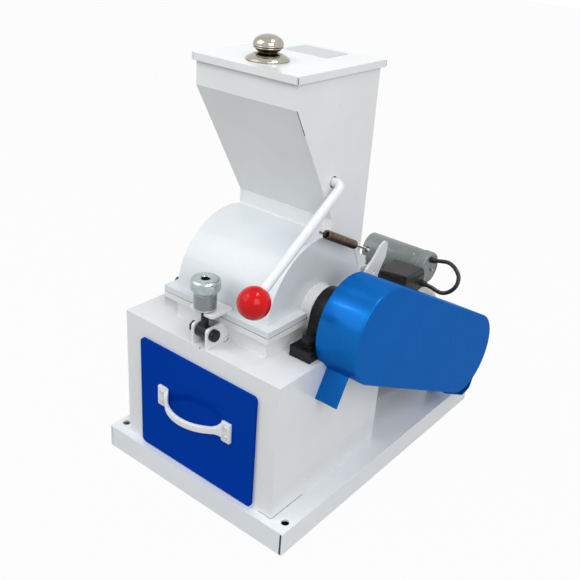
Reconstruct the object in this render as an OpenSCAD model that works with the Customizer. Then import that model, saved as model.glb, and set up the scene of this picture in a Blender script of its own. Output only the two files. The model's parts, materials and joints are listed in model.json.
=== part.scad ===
// Laboratory grain mill: a belt-driven hammer mill on a folded steel tray.
// X is across the machine, Y runs from the drawer back to the motor, Z is up.
// The origin is on top of the tray, in the middle of its four holes. The floor is base_h lower.

/* [Tray] */
// Width of the tray
base_w = 328; // [322:1:360]
// Length of the tray
base_d = 488; // [486:1:540]
// Height of the folded skirts
base_h = 35; // [28:1:50]
// Sheet of the tray
base_t = 3; // [2:0.5:4]
// Diameter of the four fixing holes
hole_d = 11; // [8:0.5:13]
// Fixing holes from the side edges
hole_side = 12; // [11:0.5:14]
// Fixing holes from the front and rear edges
hole_end = 20; // [14:1:26]
// Open seam at each folded corner
seam = 1.2; // [0.6:0.1:2]

/* [Cabinet] */
// Width of the cabinet
box_w = 270; // [268:1:290]
// Depth of the cabinet
box_d = 230; // [228:1:250]
// Height of the cabinet above the tray
box_h = 199; // [192:1:230]
// Sheet of the cabinet
box_t = 3; // [2:0.5:4]
// Cabinet front behind the tray front
box_setback = 12; // [11:1:24]

/* [Drawer] */
// Width of the drawer front
front_w = 206; // [196:1:230]
// Height of the drawer front
front_h = 170; // [150:1:185]
// Thickness of the drawer front
front_t = 4; // [3:0.5:6]
// Corner radius of the drawer front
front_r = 6; // [2:1:12]
// Width of the flour bin
bin_w = 186; // [160:1:188]
// Depth of the flour bin
bin_d = 205; // [180:1:215]
// Height of the flour bin
bin_h = 116; // [90:1:122]
// Sheet of the flour bin
bin_t = 1.5; // [1:0.5:2.5]
// Distance between the feet of the handle
handle_span = 117; // [90:1:130]
// Reach of the handle in front of the drawer
handle_reach = 29; // [26:1:40]
// Height of the handle above the tray
handle_up = 100; // [70:1:120]

/* [Casing] */
// Inner width of the milling chamber
mill_w = 150; // [146:1:156]
// Sheet of the casing and the hopper
wall = 3; // [2:0.5:4]
// Outer radius of the drum
drum_r = 97; // [96:0.5:100]
// Shaft behind the cabinet front
axis_back = 137; // [134:1:138]
// Shaft above the cabinet
bearing_h = 36.5; // [34:0.5:40]
// Width of the flanges
flange_w = 12; // [8:1:14]
// Thickness of the flanges
flange_t = 8; // [5:1:9]
// Thickness of the flange gasket
gasket_t = 1; // [0.5:0.5:2]
// Outer radius of the shaft seal housings
seal_r = 32; // [28:1:34]
// Sheet of the sieve
sieve_t = 1.5; // [1:0.5:2]
// Diameter of the sieve holes
sieve_hole = 6; // [4:1:8]

/* [Hopper] */
// Depth of the hopper mouth
hopper_d = 160; // [150:1:162]
// Rim of the hopper above the shaft
hopper_h = 303.5; // [280:0.5:330]
// Height of the upright band at the mouth
band_h = 36; // [20:1:50]
// Height of the sloped front
slope_drop = 152; // [130:1:160]
// Depth of the throat
throat_d = 73; // [71:1:76]
// Width of the lid
lid_w = 162; // [162:0.5:168]
// Depth of the lid
lid_d = 173; // [170:1:178]
// Height of the folded rim of the lid
lid_h = 9; // [6:1:14]
// Sheet of the lid
lid_t = 2; // [1:0.5:2.5]
// Middle of the lid knob behind the front of the lid
knob_back = 43; // [36:1:60]

/* [Feed lever] */
// Diameter of the lever rod
rod_d = 12; // [10:1:13]
// Length from the pivot to the ball
lever_len = 188; // [160:1:200]
// Fall of the lever below level
lever_fall = 34; // [30:1:38]
// Pivot above the foot of the sloped front
lever_up = 52; // [48:1:58]
// Lever outside the hopper wall
lever_out = 14; // [12:1:16]
// Diameter of the ball
ball_d = 40; // [30:1:44]
// Diameter of the spring
spring_d = 12; // [10:0.5:13]

/* [Clamp] */
// Clamp bolt in front of the drum
clamp_front = 28; // [27:1:30]
// Pivot of the clamp above the cabinet
clamp_up = 18; // [17:1:19]
// Diameter of the clamp bolt
clamp_d = 10; // [8:1:10]
// Play left between the clamp nut's washer and the lug
nut_play = 1.5; // [1.4:0.1:2]
// Diameter of the clamp nut's head
nut_head_d = 38; // [32:1:42]
// Diameter of the clamp nut's body
nut_body_d = 29; // [26:1:30]
// Height of the clamp nut
nut_h = 39; // [34:1:44]

/* [Rotor] */
// Diameter of the rotor shaft in its bearings
shaft_d = 25; // [22:1:25]
// Diameter of the rotor shaft between the discs
core_d = 32; // [30:1:34]
// Diameter of the rotor discs
disc_d = 120; // [116:1:124]
// Thickness of the rotor discs
disc_t = 5; // [4:0.5:6]
// Circle of the hammer pins
pin_pcd = 96; // [94:1:97]
// Diameter of the hammer pins
pin_d = 10; // [8:0.5:11]
// Reach of a hammer beyond its pin
hammer_len = 35; // [30:0.5:35]
// Width of a hammer
hammer_w = 20; // [18:0.5:20]
// Thickness of a hammer
hammer_t = 5; // [3:0.5:6]

/* [Drive] */
// Motor shaft behind the rotor shaft
drive_y = 258; // [250:1:262]
// Height of the motor rails
rail_h = 19; // [14:1:24]
// Motor shaft above its feet
motor_h = 80; // [79:1:84]
// Outer diameter of the motor
motor_d = 154; // [148:1:156]
// Length of the motor body
motor_l = 150; // [140:1:156]
// Outer diameter of the rotor pulley
rotor_pulley_d = 88; // [80:1:96]
// Outer diameter of the motor pulley
motor_pulley_d = 108; // [96:1:112]
// Middle of the belt from the middle of the machine
belt_x = 158; // [156:1:160]
// Width of the belt
belt_w = 13; // [10:0.5:13]
// Depth of the belt
belt_t = 8; // [6:0.5:9]
// Radius of the belt guard's ends
guard_r = 65; // [63:0.5:67]
// Sheet of the belt guard
guard_t = 1.5; // [1:0.5:2]
// Outer face of the guard from the middle of the machine
guard_x = 188.5; // [186:0.5:194]

/* [Hidden] */
$fn = 64;

run_gap = 0.05;    // radial clearance of a shaft that turns in its hole
fit_gap = 0.2;     // clearance between loose sheet pieces
rest_gap = 0.3;    // clearance under a piece that slides or lifts
weld_gap = 0.2;    // line left open between the drum and the hopper
eps = 0.01;

// tray and cabinet
deck_z = 0;
floor_z = deck_z - base_h;
y0 = -base_d/2;
box_y0 = y0 + box_setback;
box_y1 = box_y0 + box_d;
top_z = deck_z + box_h;
// milling chamber
axis_y = box_y0 + axis_back;
axis_z = top_z + bearing_h;
mill_x = mill_w/2 + wall;
seam_lo = axis_z - gasket_t/2;
seam_hi = axis_z + gasket_t/2;
flange_x = mill_x + flange_w;
flange_y0 = axis_y - drum_r - flange_w;
flange_y1 = box_y1 + flange_w;
flange_top = seam_hi + flange_t;
notch_r = seal_r + 1.5;
low_r = drum_r - wall;
sieve_r = low_r - 2 - rest_gap;          // outer radius of the sieve
// hopper
rim_z = axis_z + hopper_h;
band_z = rim_z - band_h;
throat_z = band_z - slope_drop;
hop_y0 = box_y1 - hopper_d;
throat_y = box_y1 - throat_d;
slope_run = throat_y - hop_y0;
slope_shift = wall*norm([slope_run, slope_drop])/slope_drop;
slope_rise = (slope_shift - wall)*slope_drop/slope_run;
lid_top = rim_z + lid_t + 0.5;
lid_y0 = hop_y0 - 5;
// feed lever
lever_y = throat_y - 5;
lever_z = throat_z + lever_up;
lever_x = mill_x + lever_out;
lever_turn = 180 + lever_fall;
rod_r = rod_d/2;
bend_r = 10;
lug_u = 62;
lug_w = rod_r + 12.4;
hook_y = lever_y + lug_u*cos(lever_turn) - lug_w*sin(lever_turn);
hook_z = lever_z + lug_u*sin(lever_turn) + lug_w*cos(lever_turn);
anchor_y = box_y1 - 5;
anchor_z = axis_z + 59.7;
anchor_r = 1.75;
spring_l = norm([anchor_y - hook_y, anchor_z - hook_z]);
spring_turn = atan2(anchor_z - hook_z, anchor_y - hook_y);
flap_fall = 27;
// hinge
hinge_y = flange_y1 + 6;
hinge_z = seam_hi + 17;
hinge_pin_r = 3;
leaf_x = mill_x - 4;
// clamp
clamp_y = axis_y - drum_r - clamp_front;
clamp_z = top_z + clamp_up;
pivot_r = 4;
eye_w = 19;
ear_gap = 20;
ear_t = 4;
lug_top = flange_top + 5;
washer_z = lug_top + nut_play;
washer_t = 2;
nut_z = washer_z + washer_t + run_gap;
// bearings
bearing_xr = 110;
bearing_xl = -116;
bearing_w = 32;
ring_r = 26;
race_r = 17;
foot_l = 140;
foot_t = 15;
bolt_span = 105;
// drive
motor_y = axis_y + drive_y;
motor_z = deck_z + rail_h + motor_h;
drive_d = norm([motor_y - axis_y, motor_z - axis_z]);
drive_turn = atan2(motor_z - axis_z, motor_y - axis_y);
motor_r = motor_d/2;
motor_x1 = 70;
motor_x0 = motor_x1 - motor_l;
bell_l = 25;
fan_l = 46;
motor_shaft_r = 9.5;
foot_y = 62.5;
motor_foot_t = 9;
rail_x = [-58, 42];
pulley_w = 22;
belt_drop = 1;
belt_r1 = rotor_pulley_d/2 - belt_drop;    // outer radius of the belt on the rotor pulley
belt_r2 = motor_pulley_d/2 - belt_drop;    // outer radius of the belt on the motor pulley
belt_lean = acos((belt_r1 - belt_r2)/drive_d);
belt_narrow = 2.4;                         // narrowing of each side of the belt at its inside
guard_over = 12;
guard_back = 129;
// motor fittings
cap_r = 25;
cap_y = motor_y + 39.5;
cap_z = motor_z + 96.5;
cap_x0 = -32;
cap_x1 = 68;
tbox_x0 = 42;
tbox_x1 = 92;
tbox_y0 = motor_y - 49;
tbox_y1 = motor_y + 8;
tbox_z0 = motor_z + motor_r + 1;
tbox_z1 = tbox_z0 + 24;
gland_l = 7;
cable_r = 3.2;
cable_from = [cap_x1 + 16 + gland_l, cap_y - 1.5, cap_z + 16];
cable_to = [tbox_x1 + gland_l, tbox_y1 - 7, tbox_z0 + 9];
cable_points = [cable_from, cable_from + [10, -1, 3], cable_from + [26, -5, 7], cable_from + [41, -12, 5],
  cable_from + [52, -18, -4], cable_from + [53, -24, -17], cable_from + [45, -29, -28],
  cable_to + [26, 3, -6], cable_to + [11, 1, -2], cable_to];

// ---- shared shapes ----

// a flat outline drawn as [y, z], standing across X between two planes
module across(xa, xb) {
  translate([xa, 0, 0])
    rotate([90, 0, 90])
      linear_extrude(xb - xa)
        children();
}

// a flat outline drawn as [x, z], between two Y planes
module along(ya, yb) {
  translate([0, yb, 0])
    rotate([90, 0, 0])
      linear_extrude(yb - ya)
        children();
}

// a block given by two corners
module block(a, b) {
  translate(a)
    cube(b - a);
}

// a round bar along X
module bar(r, xa, xb, y, z) {
  translate([xa, y, z])
    rotate([0, 90, 0])
      cylinder(r=r, h=xb - xa);
}

// a tube along X
module tube(r, bore, xa, xb, y, z) {
  difference() {
    bar(r, xa, xb, y, z);
    bar(bore, xa - 1, xb + 1, y, z);
  }
}

// a hexagon bar, af across its flats
module hexagon(af, h) {
  cylinder(d=af/cos(30), h=h, $fn=6);
}

// a bolt hanging down from z = 0 with its head above and a nut below what it grips
module hex_bolt(d, af, head_h, grip) {
  translate([0, 0, -grip - 0.9*d])
    cylinder(d=d, h=grip + 0.9*d + eps);
  hexagon(af, head_h);
  translate([0, 0, -grip - 0.8*d])
    hexagon(af, 0.8*d);
}

// the frame of the belt: u runs from the rotor shaft to the motor shaft, v is square to it
module drive_frame(x) {
  translate([x, axis_y, axis_z])
    rotate([drive_turn, 0, 0])
      rotate([90, 0, 90])
        children();
}

// the frame of the lever: +Y runs from the pivot to the ball, +Z is the lower side of the rod
module lever_frame() {
  translate([0, lever_y, lever_z])
    rotate([lever_turn, 0, 0])
      children();
}

// outline of the flanges seen from above
module flange_outline(grow, inner_grow) {
  difference() {
    translate([-flange_x - grow, flange_y0 - grow])
      square([2*(flange_x + grow), flange_y1 - flange_y0 + 2*grow]);
    translate([-mill_x - inner_grow, axis_y - drum_r + 3 - inner_grow])
      square([2*(mill_x + inner_grow), box_y1 - axis_y + drum_r - 3 - 3 + 2*inner_grow]);
    for (s = [-1, 1])
      translate([s*(mill_x + flange_w/2) - flange_w, axis_y - notch_r - 1])
        square([2*flange_w, 2*(notch_r + 1)]);
  }
}

// ---- tray and cabinet ----

module base_tray() {
  color("whitesmoke")
  difference() {
    block([-base_w/2, y0, floor_z], [base_w/2, -y0, deck_z]);
    block([-base_w/2 + base_t, y0 + base_t, floor_z - 1],
      [base_w/2 - base_t, -y0 - base_t, deck_z - base_t]);
    for (sx = [-1, 1])
      for (sy = [-1, 1]) {
        translate([sx*(base_w/2 - base_t - seam/2), sy*(base_d/2 - base_t/2), floor_z - 2])
          linear_extrude(base_h - base_t + 2)
            square([seam, base_t + 2], center=true);
        translate([sx*(base_w/2 - hole_side), sy*(base_d/2 - hole_end), deck_z - base_t - 1])
          cylinder(d=hole_d, h=base_t + 2);
      }
    for (x = rail_x)
      for (s = [-1, 1])
        translate([x, motor_y + s*foot_y, deck_z - base_t - 1])
          cylinder(r=5.2, h=base_t + 2);
  }
}

module lower_box() {
  open_r = sqrt(pow(low_r, 2) - pow(bearing_h, 2)) + 0.6;
  color("white")
  difference() {
    block([-box_w/2, box_y0, deck_z], [box_w/2, box_y1, top_z]);
    block([-box_w/2 + box_t, box_y0 + box_t, deck_z - 1], [box_w/2 - box_t, box_y1 - box_t, top_z - box_t]);
    block([-bin_w/2 - 2, box_y0 - 1, deck_z - 1], [bin_w/2 + 2, box_y0 + box_t + 1, deck_z + bin_h + 8]);
    translate([-mill_x - fit_gap, axis_y - open_r, top_z - box_t - 1])
      cube([2*(mill_x + fit_gap), 2*open_r, box_t + 2]);
    for (x = [bearing_xl, bearing_xr])
      for (s = [-1, 1])
        translate([x, axis_y + s*bolt_span/2, top_z - box_t - 1])
          cylinder(r=6.2, h=box_t + 2);
  }
}

module drawer_runners() {
  color("silver")
  for (s = [-1, 1])
    translate([s*(bin_w/2 + 3.5) - 3, box_y0 + box_t + 2, deck_z])
      cube([6, box_d - 2*box_t - 4, 12]);
}

// ---- drawer ----

module drawer_bin() {
  color("gainsboro")
  difference() {
    block([-bin_w/2, box_y0 - fit_gap, deck_z + rest_gap],
      [bin_w/2, box_y0 - fit_gap + bin_d, deck_z + rest_gap + bin_h]);
    block([-bin_w/2 + bin_t, box_y0 - fit_gap + bin_t, deck_z + rest_gap + bin_t],
      [bin_w/2 - bin_t, box_y0 - fit_gap + bin_d - bin_t, deck_z + bin_h + 2]);
  }
}

module drawer_front() {
  front_z = deck_z + 2;
  color("mediumblue")
  difference() {
    along(box_y0 - fit_gap - front_t, box_y0 - fit_gap) {
      translate([-front_w/2 + front_r, front_z])
        square([front_w - 2*front_r, front_h]);
      translate([-front_w/2, front_z + front_r])
        square([front_w, front_h - 2*front_r]);
      for (x = [-front_w/2 + front_r, front_w/2 - front_r])
        for (z = [front_z + front_r, front_z + front_h - front_r])
          translate([x, z])
            circle(front_r);
    }
    for (s = [-1, 1])
      for (t = [-7, 7])
        translate([s*handle_span/2, box_y0, deck_z + handle_up + t])
          rotate([90, 0, 0])
            cylinder(r=2.1, h=front_t + 2);
  }
}

module drawer_handle() {
  foot_w = 15;
  foot_h = 30;
  flare_x = 9;
  bar_w = 10;
  bar_t = 5;
  flare_r = (foot_h - bar_w)/2;
  face_y = box_y0 - fit_gap - front_t;
  half = handle_span/2 - 3;
  bow_r = (pow(half, 2) + pow(handle_reach, 2))/(2*handle_reach);
  bow_a = asin(half/bow_r);
  color("white") {
    difference() {
      for (s = [-1, 1])
        translate([s*handle_span/2 - foot_w/2, face_y - 4, deck_z + handle_up - foot_h/2])
          cube([foot_w, 4, foot_h]);
      for (s = [-1, 1])
        for (t = [-7, 7])
          translate([s*handle_span/2, face_y + 1, deck_z + handle_up + t])
            rotate([90, 0, 0])
              cylinder(r=2.1, h=6);
    }
    // bowed strap, as high as the feet where it leaves them and narrower from there on
    intersection() {
      translate([0, face_y - handle_reach + bow_r, deck_z + handle_up - foot_h/2])
        rotate([0, 0, -90 - bow_a])
          rotate_extrude(angle=2*bow_a)
            translate([bow_r - bar_t, 0])
              square([bar_t, foot_h]);
      along(face_y - handle_reach - 1, face_y - 3.9)
        translate([0, deck_z + handle_up])
          difference() {
            square([2*half, foot_h], center=true);
            for (s = [-1, 1])
              hull()
                for (t = [-1, 1])
                  translate([t*(half - flare_r - flare_x), s*(foot_h/2 + 0.01)])
                    circle(flare_r);
          }
    }
  }
}

module handle_screws() {
  face_y = box_y0 - fit_gap - front_t;
  color("silver")
  for (s = [-1, 1])
    for (t = [-7, 7])
      translate([s*handle_span/2, face_y - 4, deck_z + handle_up + t])
        rotate([90, 0, 0]) {
          translate([0, 0, -front_t - 4])
            cylinder(r=2, h=front_t + 4);
          cylinder(r=3.6, h=1.2);
          translate([0, 0, 1.2])
            cylinder(r=2.4, h=0.8);
        }
}

// ---- lower half of the mill ----

module lower_casing() {
  color("white")
  difference() {
    union() {
      for (s = [-1, 1]) {
        xa = s > 0 ? mill_w/2 : -mill_x;
        across(xa, xa + wall) {
          translate([axis_y - drum_r, top_z])
            square([box_y1 - axis_y + drum_r, seam_lo - top_z]);
          intersection() {
            translate([axis_y, axis_z])
              circle(low_r, $fn=128);
            translate([axis_y - low_r, axis_z - low_r])
              square([2*low_r, low_r - bearing_h + 1]);
          }
        }
        // rail that carries the edge of the sieve
        rail_a = s > 0 ? mill_w/2 - 6 : -mill_w/2;
        difference() {
          across(rail_a, rail_a + 6)
            difference() {
              translate([axis_y, axis_z])
                circle(low_r, $fn=128);
              translate([axis_y, axis_z])
                circle(low_r - 2, $fn=128);
              translate([axis_y - drum_r, axis_z - 22])
                square([2*drum_r, 2*drum_r]);
            }
        }
      }
      block([-mill_w/2 - eps, axis_y - drum_r, top_z], [mill_w/2 + eps, axis_y - drum_r + wall, seam_lo]);
      block([-mill_w/2 - eps, box_y1 - wall, top_z], [mill_w/2 + eps, box_y1, seam_lo]);
      translate([0, 0, seam_lo - flange_t])
        linear_extrude(flange_t)
          flange_outline(0, 0);
    }
    bar(seal_r + fit_gap, -flange_x - 1, -mill_w/2 + 8, axis_y, axis_z);
    bar(seal_r + fit_gap, mill_w/2 - 8, flange_x + 1, axis_y, axis_z);
  }
}

module flange_gasket() {
  color("dimgray")
  translate([0, 0, seam_lo])
    linear_extrude(gasket_t)
      flange_outline(-1, 0.5);
}

module sieve() {
  color("silver")
  difference() {
    across(-mill_w/2 + fit_gap, mill_w/2 - fit_gap)
      difference() {
        translate([axis_y, axis_z])
          circle(sieve_r, $fn=128);
        translate([axis_y, axis_z])
          circle(sieve_r - sieve_t, $fn=128);
        translate([axis_y - drum_r, axis_z - 24])
          square([2*drum_r, 2*drum_r]);
      }
    for (i = [0:6])
      for (j = [0:4])
        translate([-48 + 24*j, axis_y, axis_z])
          rotate([-150 + 20*i, 0, 0])
            rotate([-90, 0, 0])
              translate([0, 0, sieve_r - sieve_t - 2])
                cylinder(d=sieve_hole, h=sieve_t + 4, $fn=16);
  }
}

module seal_housings() {
  color("white") {
    tube(seal_r, shaft_d/2 + 1, mill_w/2, bearing_xr - bearing_w/2 - 1, axis_y, axis_z);
    tube(seal_r, shaft_d/2 + 1, bearing_xl + bearing_w/2 + 1, -mill_w/2, axis_y, axis_z);
  }
}

module bearing_housings() {
  color("black")
  for (x = [bearing_xl, bearing_xr])
    difference() {
      union() {
        translate([x - bearing_w/2, axis_y - foot_l/2, top_z])
          cube([bearing_w, foot_l, foot_t]);
        across(x - bearing_w/2 + 1, x + bearing_w/2 - 1)
          polygon([[axis_y - 40, top_z + foot_t - 1], [axis_y + 40, top_z + foot_t - 1],
            [axis_y + 33, axis_z + 11], [axis_y - 33, axis_z + 11]]);
        bar(ring_r + 9, x - bearing_w/2 + 1, x + bearing_w/2 - 1, axis_y, axis_z);
      }
      bar(ring_r + run_gap, x - bearing_w, x + bearing_w, axis_y, axis_z);
      for (s = [-1, 1])
        translate([x, axis_y + s*bolt_span/2, top_z - 1])
          cylinder(r=6.5, h=foot_t + 2);
    }
}

module bearing_outer_rings() {
  color("silver")
  for (x = [bearing_xl, bearing_xr])
    tube(ring_r, race_r + run_gap, x - 9, x + 9, axis_y, axis_z);
}

module bearing_inner_rings() {
  color("gray")
  for (x = [bearing_xl, bearing_xr])
    tube(race_r, shaft_d/2 + run_gap, x - 16, x + 16, axis_y, axis_z);
}

module bearing_bolts() {
  color("dimgray")
  for (x = [bearing_xl, bearing_xr])
    for (s = [-1, 1])
      translate([x, axis_y + s*bolt_span/2, top_z + foot_t]) {
        translate([0, 0, 2 + run_gap])
          hex_bolt(12, 18, 7.5, foot_t + box_t + 2 + run_gap);
        difference() {
          cylinder(r=11, h=2);
          translate([0, 0, -1])
            cylinder(r=6.3, h=4);
        }
      }
}

// ---- hinge, cover rests and clamp ----

module hinge_brackets() {
  color("white")
  for (s = [-1, 1]) {
    xa = s > 0 ? leaf_x - 11.5 : -leaf_x + 5.5;
    difference() {
      across(xa, xa + 6) {
        translate([flange_y1, seam_lo - flange_t - 12])
          square([hinge_y + 6 - flange_y1, flange_t + 12]);
        translate([flange_y1 + 0.5, seam_lo - 1])
          square([hinge_y + 5.5 - flange_y1, hinge_z - seam_lo + 1]);
        translate([hinge_y + 0.25, hinge_z])
          circle(5.75);
      }
      bar(hinge_pin_r + run_gap, xa - 1, xa + 7, hinge_y, hinge_z);
    }
  }
}

module hinge_pin() {
  color("silver")
  for (s = [-1, 1]) {
    xa = s > 0 ? leaf_x - 13 : -leaf_x - 2;
    bar(hinge_pin_r, xa, xa + 15, hinge_y, hinge_z);
    bar(4.5, s > 0 ? leaf_x + 0.5 : -leaf_x - 2.5, s > 0 ? leaf_x + 2.5 : -leaf_x - 0.5, hinge_y, hinge_z);
  }
}

module hinge_leaves() {
  color("white")
  for (s = [-1, 1]) {
    xa = s > 0 ? leaf_x - 5 : -leaf_x;
    difference() {
      across(xa, xa + 5)
        polygon([[box_y1, flange_top], [hinge_y + 5, flange_top], [hinge_y + 6.5, hinge_z + 7],
          [hinge_y + 5, hinge_z + 18], [box_y1, hinge_z + 30]]);
      bar(hinge_pin_r + run_gap, xa - 1, xa + 6, hinge_y, hinge_z);
    }
  }
}

module cover_rests() {
  rest_x = 60;
  rest_t = 4;
  color("white")
  for (x = [-rest_x, rest_x])
    difference() {
      across(x - rest_t/2, x + rest_t/2) {
        polygon([[box_y1, top_z - 38], [box_y1, top_z - 1], [flange_y1, top_z + 8],
          [flange_y1, seam_lo - 1], [flange_y1 + 27, axis_z - 4], [flange_y1 + 41, axis_z + 2],
          [flange_y1 + 52, axis_z + 10], [flange_y1 + 61, axis_z + 17.5], [flange_y1 + 71, axis_z + 28],
          [flange_y1 + 79, axis_z + 31.5], [flange_y1 + 88.3, axis_z + 24], [flange_y1 + 87, axis_z + 7],
          [flange_y1 + 70, axis_z - 18], [flange_y1 + 45, axis_z - 46]]);
        translate([flange_y1 + 81.8, axis_z + 25.5])
          circle(6.5);
      }
      bar(3, x - rest_t, x + rest_t, flange_y1 + 58, axis_z - 10);
    }
}

module clamp_ears() {
  color("white")
  for (s = [-1, 1]) {
    xa = s > 0 ? ear_gap/2 : -ear_gap/2 - ear_t;
    difference() {
      across(xa, xa + ear_t) {
        translate([clamp_y - 10, top_z])
          square([axis_y - drum_r - clamp_y + 10, clamp_up + 5]);
        translate([clamp_y - 5, top_z])
          square([axis_y - drum_r - clamp_y + 5, seam_lo - flange_t - top_z]);
        translate([clamp_y - 5, clamp_z + 5])
          circle(5);
      }
      bar(pivot_r + run_gap, xa - 1, xa + ear_t + 1, clamp_y, clamp_z);
    }
  }
}

module clamp_pivot() {
  x1 = ear_gap/2 + ear_t;
  color("black") {
    bar(pivot_r, -x1 - 8, x1 + eps, clamp_y, clamp_z);
    bar(8, x1, x1 + 5.5, clamp_y, clamp_z);
    bar(6.6, x1 + 5.5 - eps, x1 + 7, clamp_y, clamp_z);
    translate([-x1 - 7, clamp_y, clamp_z])
      rotate([0, 90, 0])
        hexagon(13, 6.5);
  }
}

module eye_bolt() {
  color("black")
  difference() {
    union() {
      bar(9, -eye_w/2, eye_w/2, clamp_y, clamp_z);
      translate([0, clamp_y, clamp_z])
        cylinder(d=clamp_d, h=nut_z + nut_h - 7 - clamp_z);
    }
    bar(pivot_r + run_gap, -eye_w, eye_w, clamp_y, clamp_z);
  }
}

module cover_lug() {
  slot_w = clamp_d + 2;
  color("white")
  translate([0, 0, flange_top])
    linear_extrude(lug_top - flange_top)
      difference() {
        union() {
          translate([-21, clamp_y - 4])
            square([42, axis_y - drum_r - clamp_y + 4 - 1]);
          translate([-16, clamp_y - 9])
            square([32, 10]);
          for (s = [-1, 1])
            translate([s*16, clamp_y - 4])
              circle(5);
        }
        translate([-slot_w/2, clamp_y - 12])
          square([slot_w, 12]);
        translate([0, clamp_y])
          circle(slot_w/2);
      }
}

module clamp_washer() {
  color("silver")
  translate([0, clamp_y, washer_z])
    difference() {
      cylinder(r=nut_body_d/2, h=washer_t);
      translate([0, 0, -1])
        cylinder(r=clamp_d/2 + run_gap, h=washer_t + 2);
    }
}

module clamp_nut() {
  head_r = nut_head_d/2;
  body_r = nut_body_d/2;
  bore_r = clamp_d/2 + run_gap;
  color("lightgray")
  translate([0, clamp_y, nut_z])
    difference() {
      rotate_extrude($fn=96)
        polygon([[bore_r, 0], [body_r - 1, 0], [body_r, 1], [body_r, nut_h - 19], [head_r, nut_h - 14],
          [head_r, nut_h - 2.5], [head_r - 2.5, nut_h], [bore_r, nut_h]]);
      translate([-body_r - 1, 0, nut_h - 23])
        rotate([0, 90, 0])
          cylinder(r=1.3, h=6, $fn=24);
    }
}

// ---- cover, hopper and lid ----

module upper_casing() {
  drum_end = throat_y + wall - axis_y;
  color("white")
  difference() {
    union() {
      for (xa = [-mill_x, mill_w/2])
        across(xa, xa + wall)
          intersection() {
            translate([axis_y, axis_z])
              circle(drum_r - eps, $fn=128);
            translate([axis_y - drum_r, seam_hi])
              square([box_y1 - axis_y + drum_r, drum_r]);
          }
      across(-mill_x, mill_x)
        difference() {
          translate([axis_y, axis_z])
            circle(drum_r, $fn=128);
          translate([axis_y, axis_z])
            circle(drum_r - wall, $fn=128);
          translate([axis_y - 2*drum_r, axis_z - 2*drum_r])
            square([4*drum_r, 2*drum_r + gasket_t/2]);
          translate([axis_y + drum_end, axis_z])
            square([drum_r, drum_r + 1]);
        }
      block([-mill_w/2 - eps, box_y1 - wall, seam_hi],
        [mill_w/2 + eps, box_y1, axis_z + sqrt(pow(drum_r, 2) - pow(box_y1 - axis_y, 2))]);
      translate([0, 0, seam_hi])
        linear_extrude(flange_t)
          flange_outline(0, 0);
    }
    bar(notch_r, -flange_x - 1, -mill_w/2 + 2, axis_y, axis_z);
    bar(notch_r, mill_w/2 - 2, flange_x + 1, axis_y, axis_z);
  }
}

module hopper() {
  hole_r = rod_r + 1.5;
  bush_l = 5;
  color("white") {
    difference() {
      across(-mill_x, mill_x)
        polygon([[hop_y0, rim_z], [hop_y0, band_z], [throat_y, throat_z], [throat_y, axis_z],
          [box_y1, axis_z], [box_y1, rim_z]]);
      across(-mill_w/2, mill_w/2)
        polygon([[hop_y0 + wall, rim_z + 1], [hop_y0 + wall, band_z + slope_rise],
          [throat_y + wall, throat_z + slope_rise], [throat_y + wall, axis_z - 1],
          [box_y1 - wall, axis_z - 1], [box_y1 - wall, rim_z + 1]]);
      bar(drum_r + weld_gap, -mill_x - 1, mill_x + 1, axis_y, axis_z);
      translate([-mill_x - 1, axis_y, axis_z - 1])
        cube([2*mill_x + 2, drum_r, sqrt(pow(drum_r, 2) - pow(box_y1 - axis_y, 2)) + 1 + weld_gap]);
      bar(hole_r, -mill_x - 1, mill_x + 1, lever_y, lever_z);
    }
    // bushes of the gate shaft, inside the side walls
    for (xa = [-mill_w/2 - eps, mill_w/2 - bush_l])
      tube(rod_r + 4, rod_r + run_gap, xa, xa + bush_l + eps, lever_y, lever_z);
    // stud that the spring hooks on
    bar(anchor_r, mill_x - eps, lever_x + 3, anchor_y, anchor_z);
  }
}

module breaker_plate() {
  plate_r = drum_r - wall - fit_gap;
  color("gray")
  across(-mill_w/2 + fit_gap, mill_w/2 - fit_gap)
    difference() {
      translate([axis_y, axis_z])
        circle(plate_r, $fn=128);
      translate([axis_y, axis_z])
        circle(plate_r - 4, $fn=128);
      for (i = [0:8])
        translate([axis_y, axis_z])
          rotate(100 + 9*i)
            translate([plate_r - 5, -2.5])
              square([3, 5]);
      translate([axis_y, axis_z - drum_r])
        square([drum_r, 2*drum_r]);
      translate([axis_y - drum_r, axis_z - drum_r])
        square([2*drum_r, drum_r + 12]);
    }
}

module hopper_lid() {
  lid_z0 = lid_top - lid_h;
  color("white")
  difference() {
    block([-lid_w/2, lid_y0, lid_z0], [lid_w/2, lid_y0 + lid_d, lid_top]);
    block([-lid_w/2 + lid_t, lid_y0 + lid_t, lid_z0 - 1],
      [lid_w/2 - lid_t, lid_y0 + lid_d - lid_t, lid_top - lid_t]);
    for (sx = [-1, 1])
      for (y = [lid_y0 + lid_t/2, lid_y0 + lid_d - lid_t/2])
        translate([sx*(lid_w/2 - lid_t - seam/3), y, lid_z0])
          cube([seam*2/3, lid_t + 1, 2*(lid_h - lid_t)], center=true);
    translate([0, lid_y0 + knob_back, lid_top - lid_t - 1])
      cylinder(r=2.6, h=lid_t + 2);
  }
}

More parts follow.
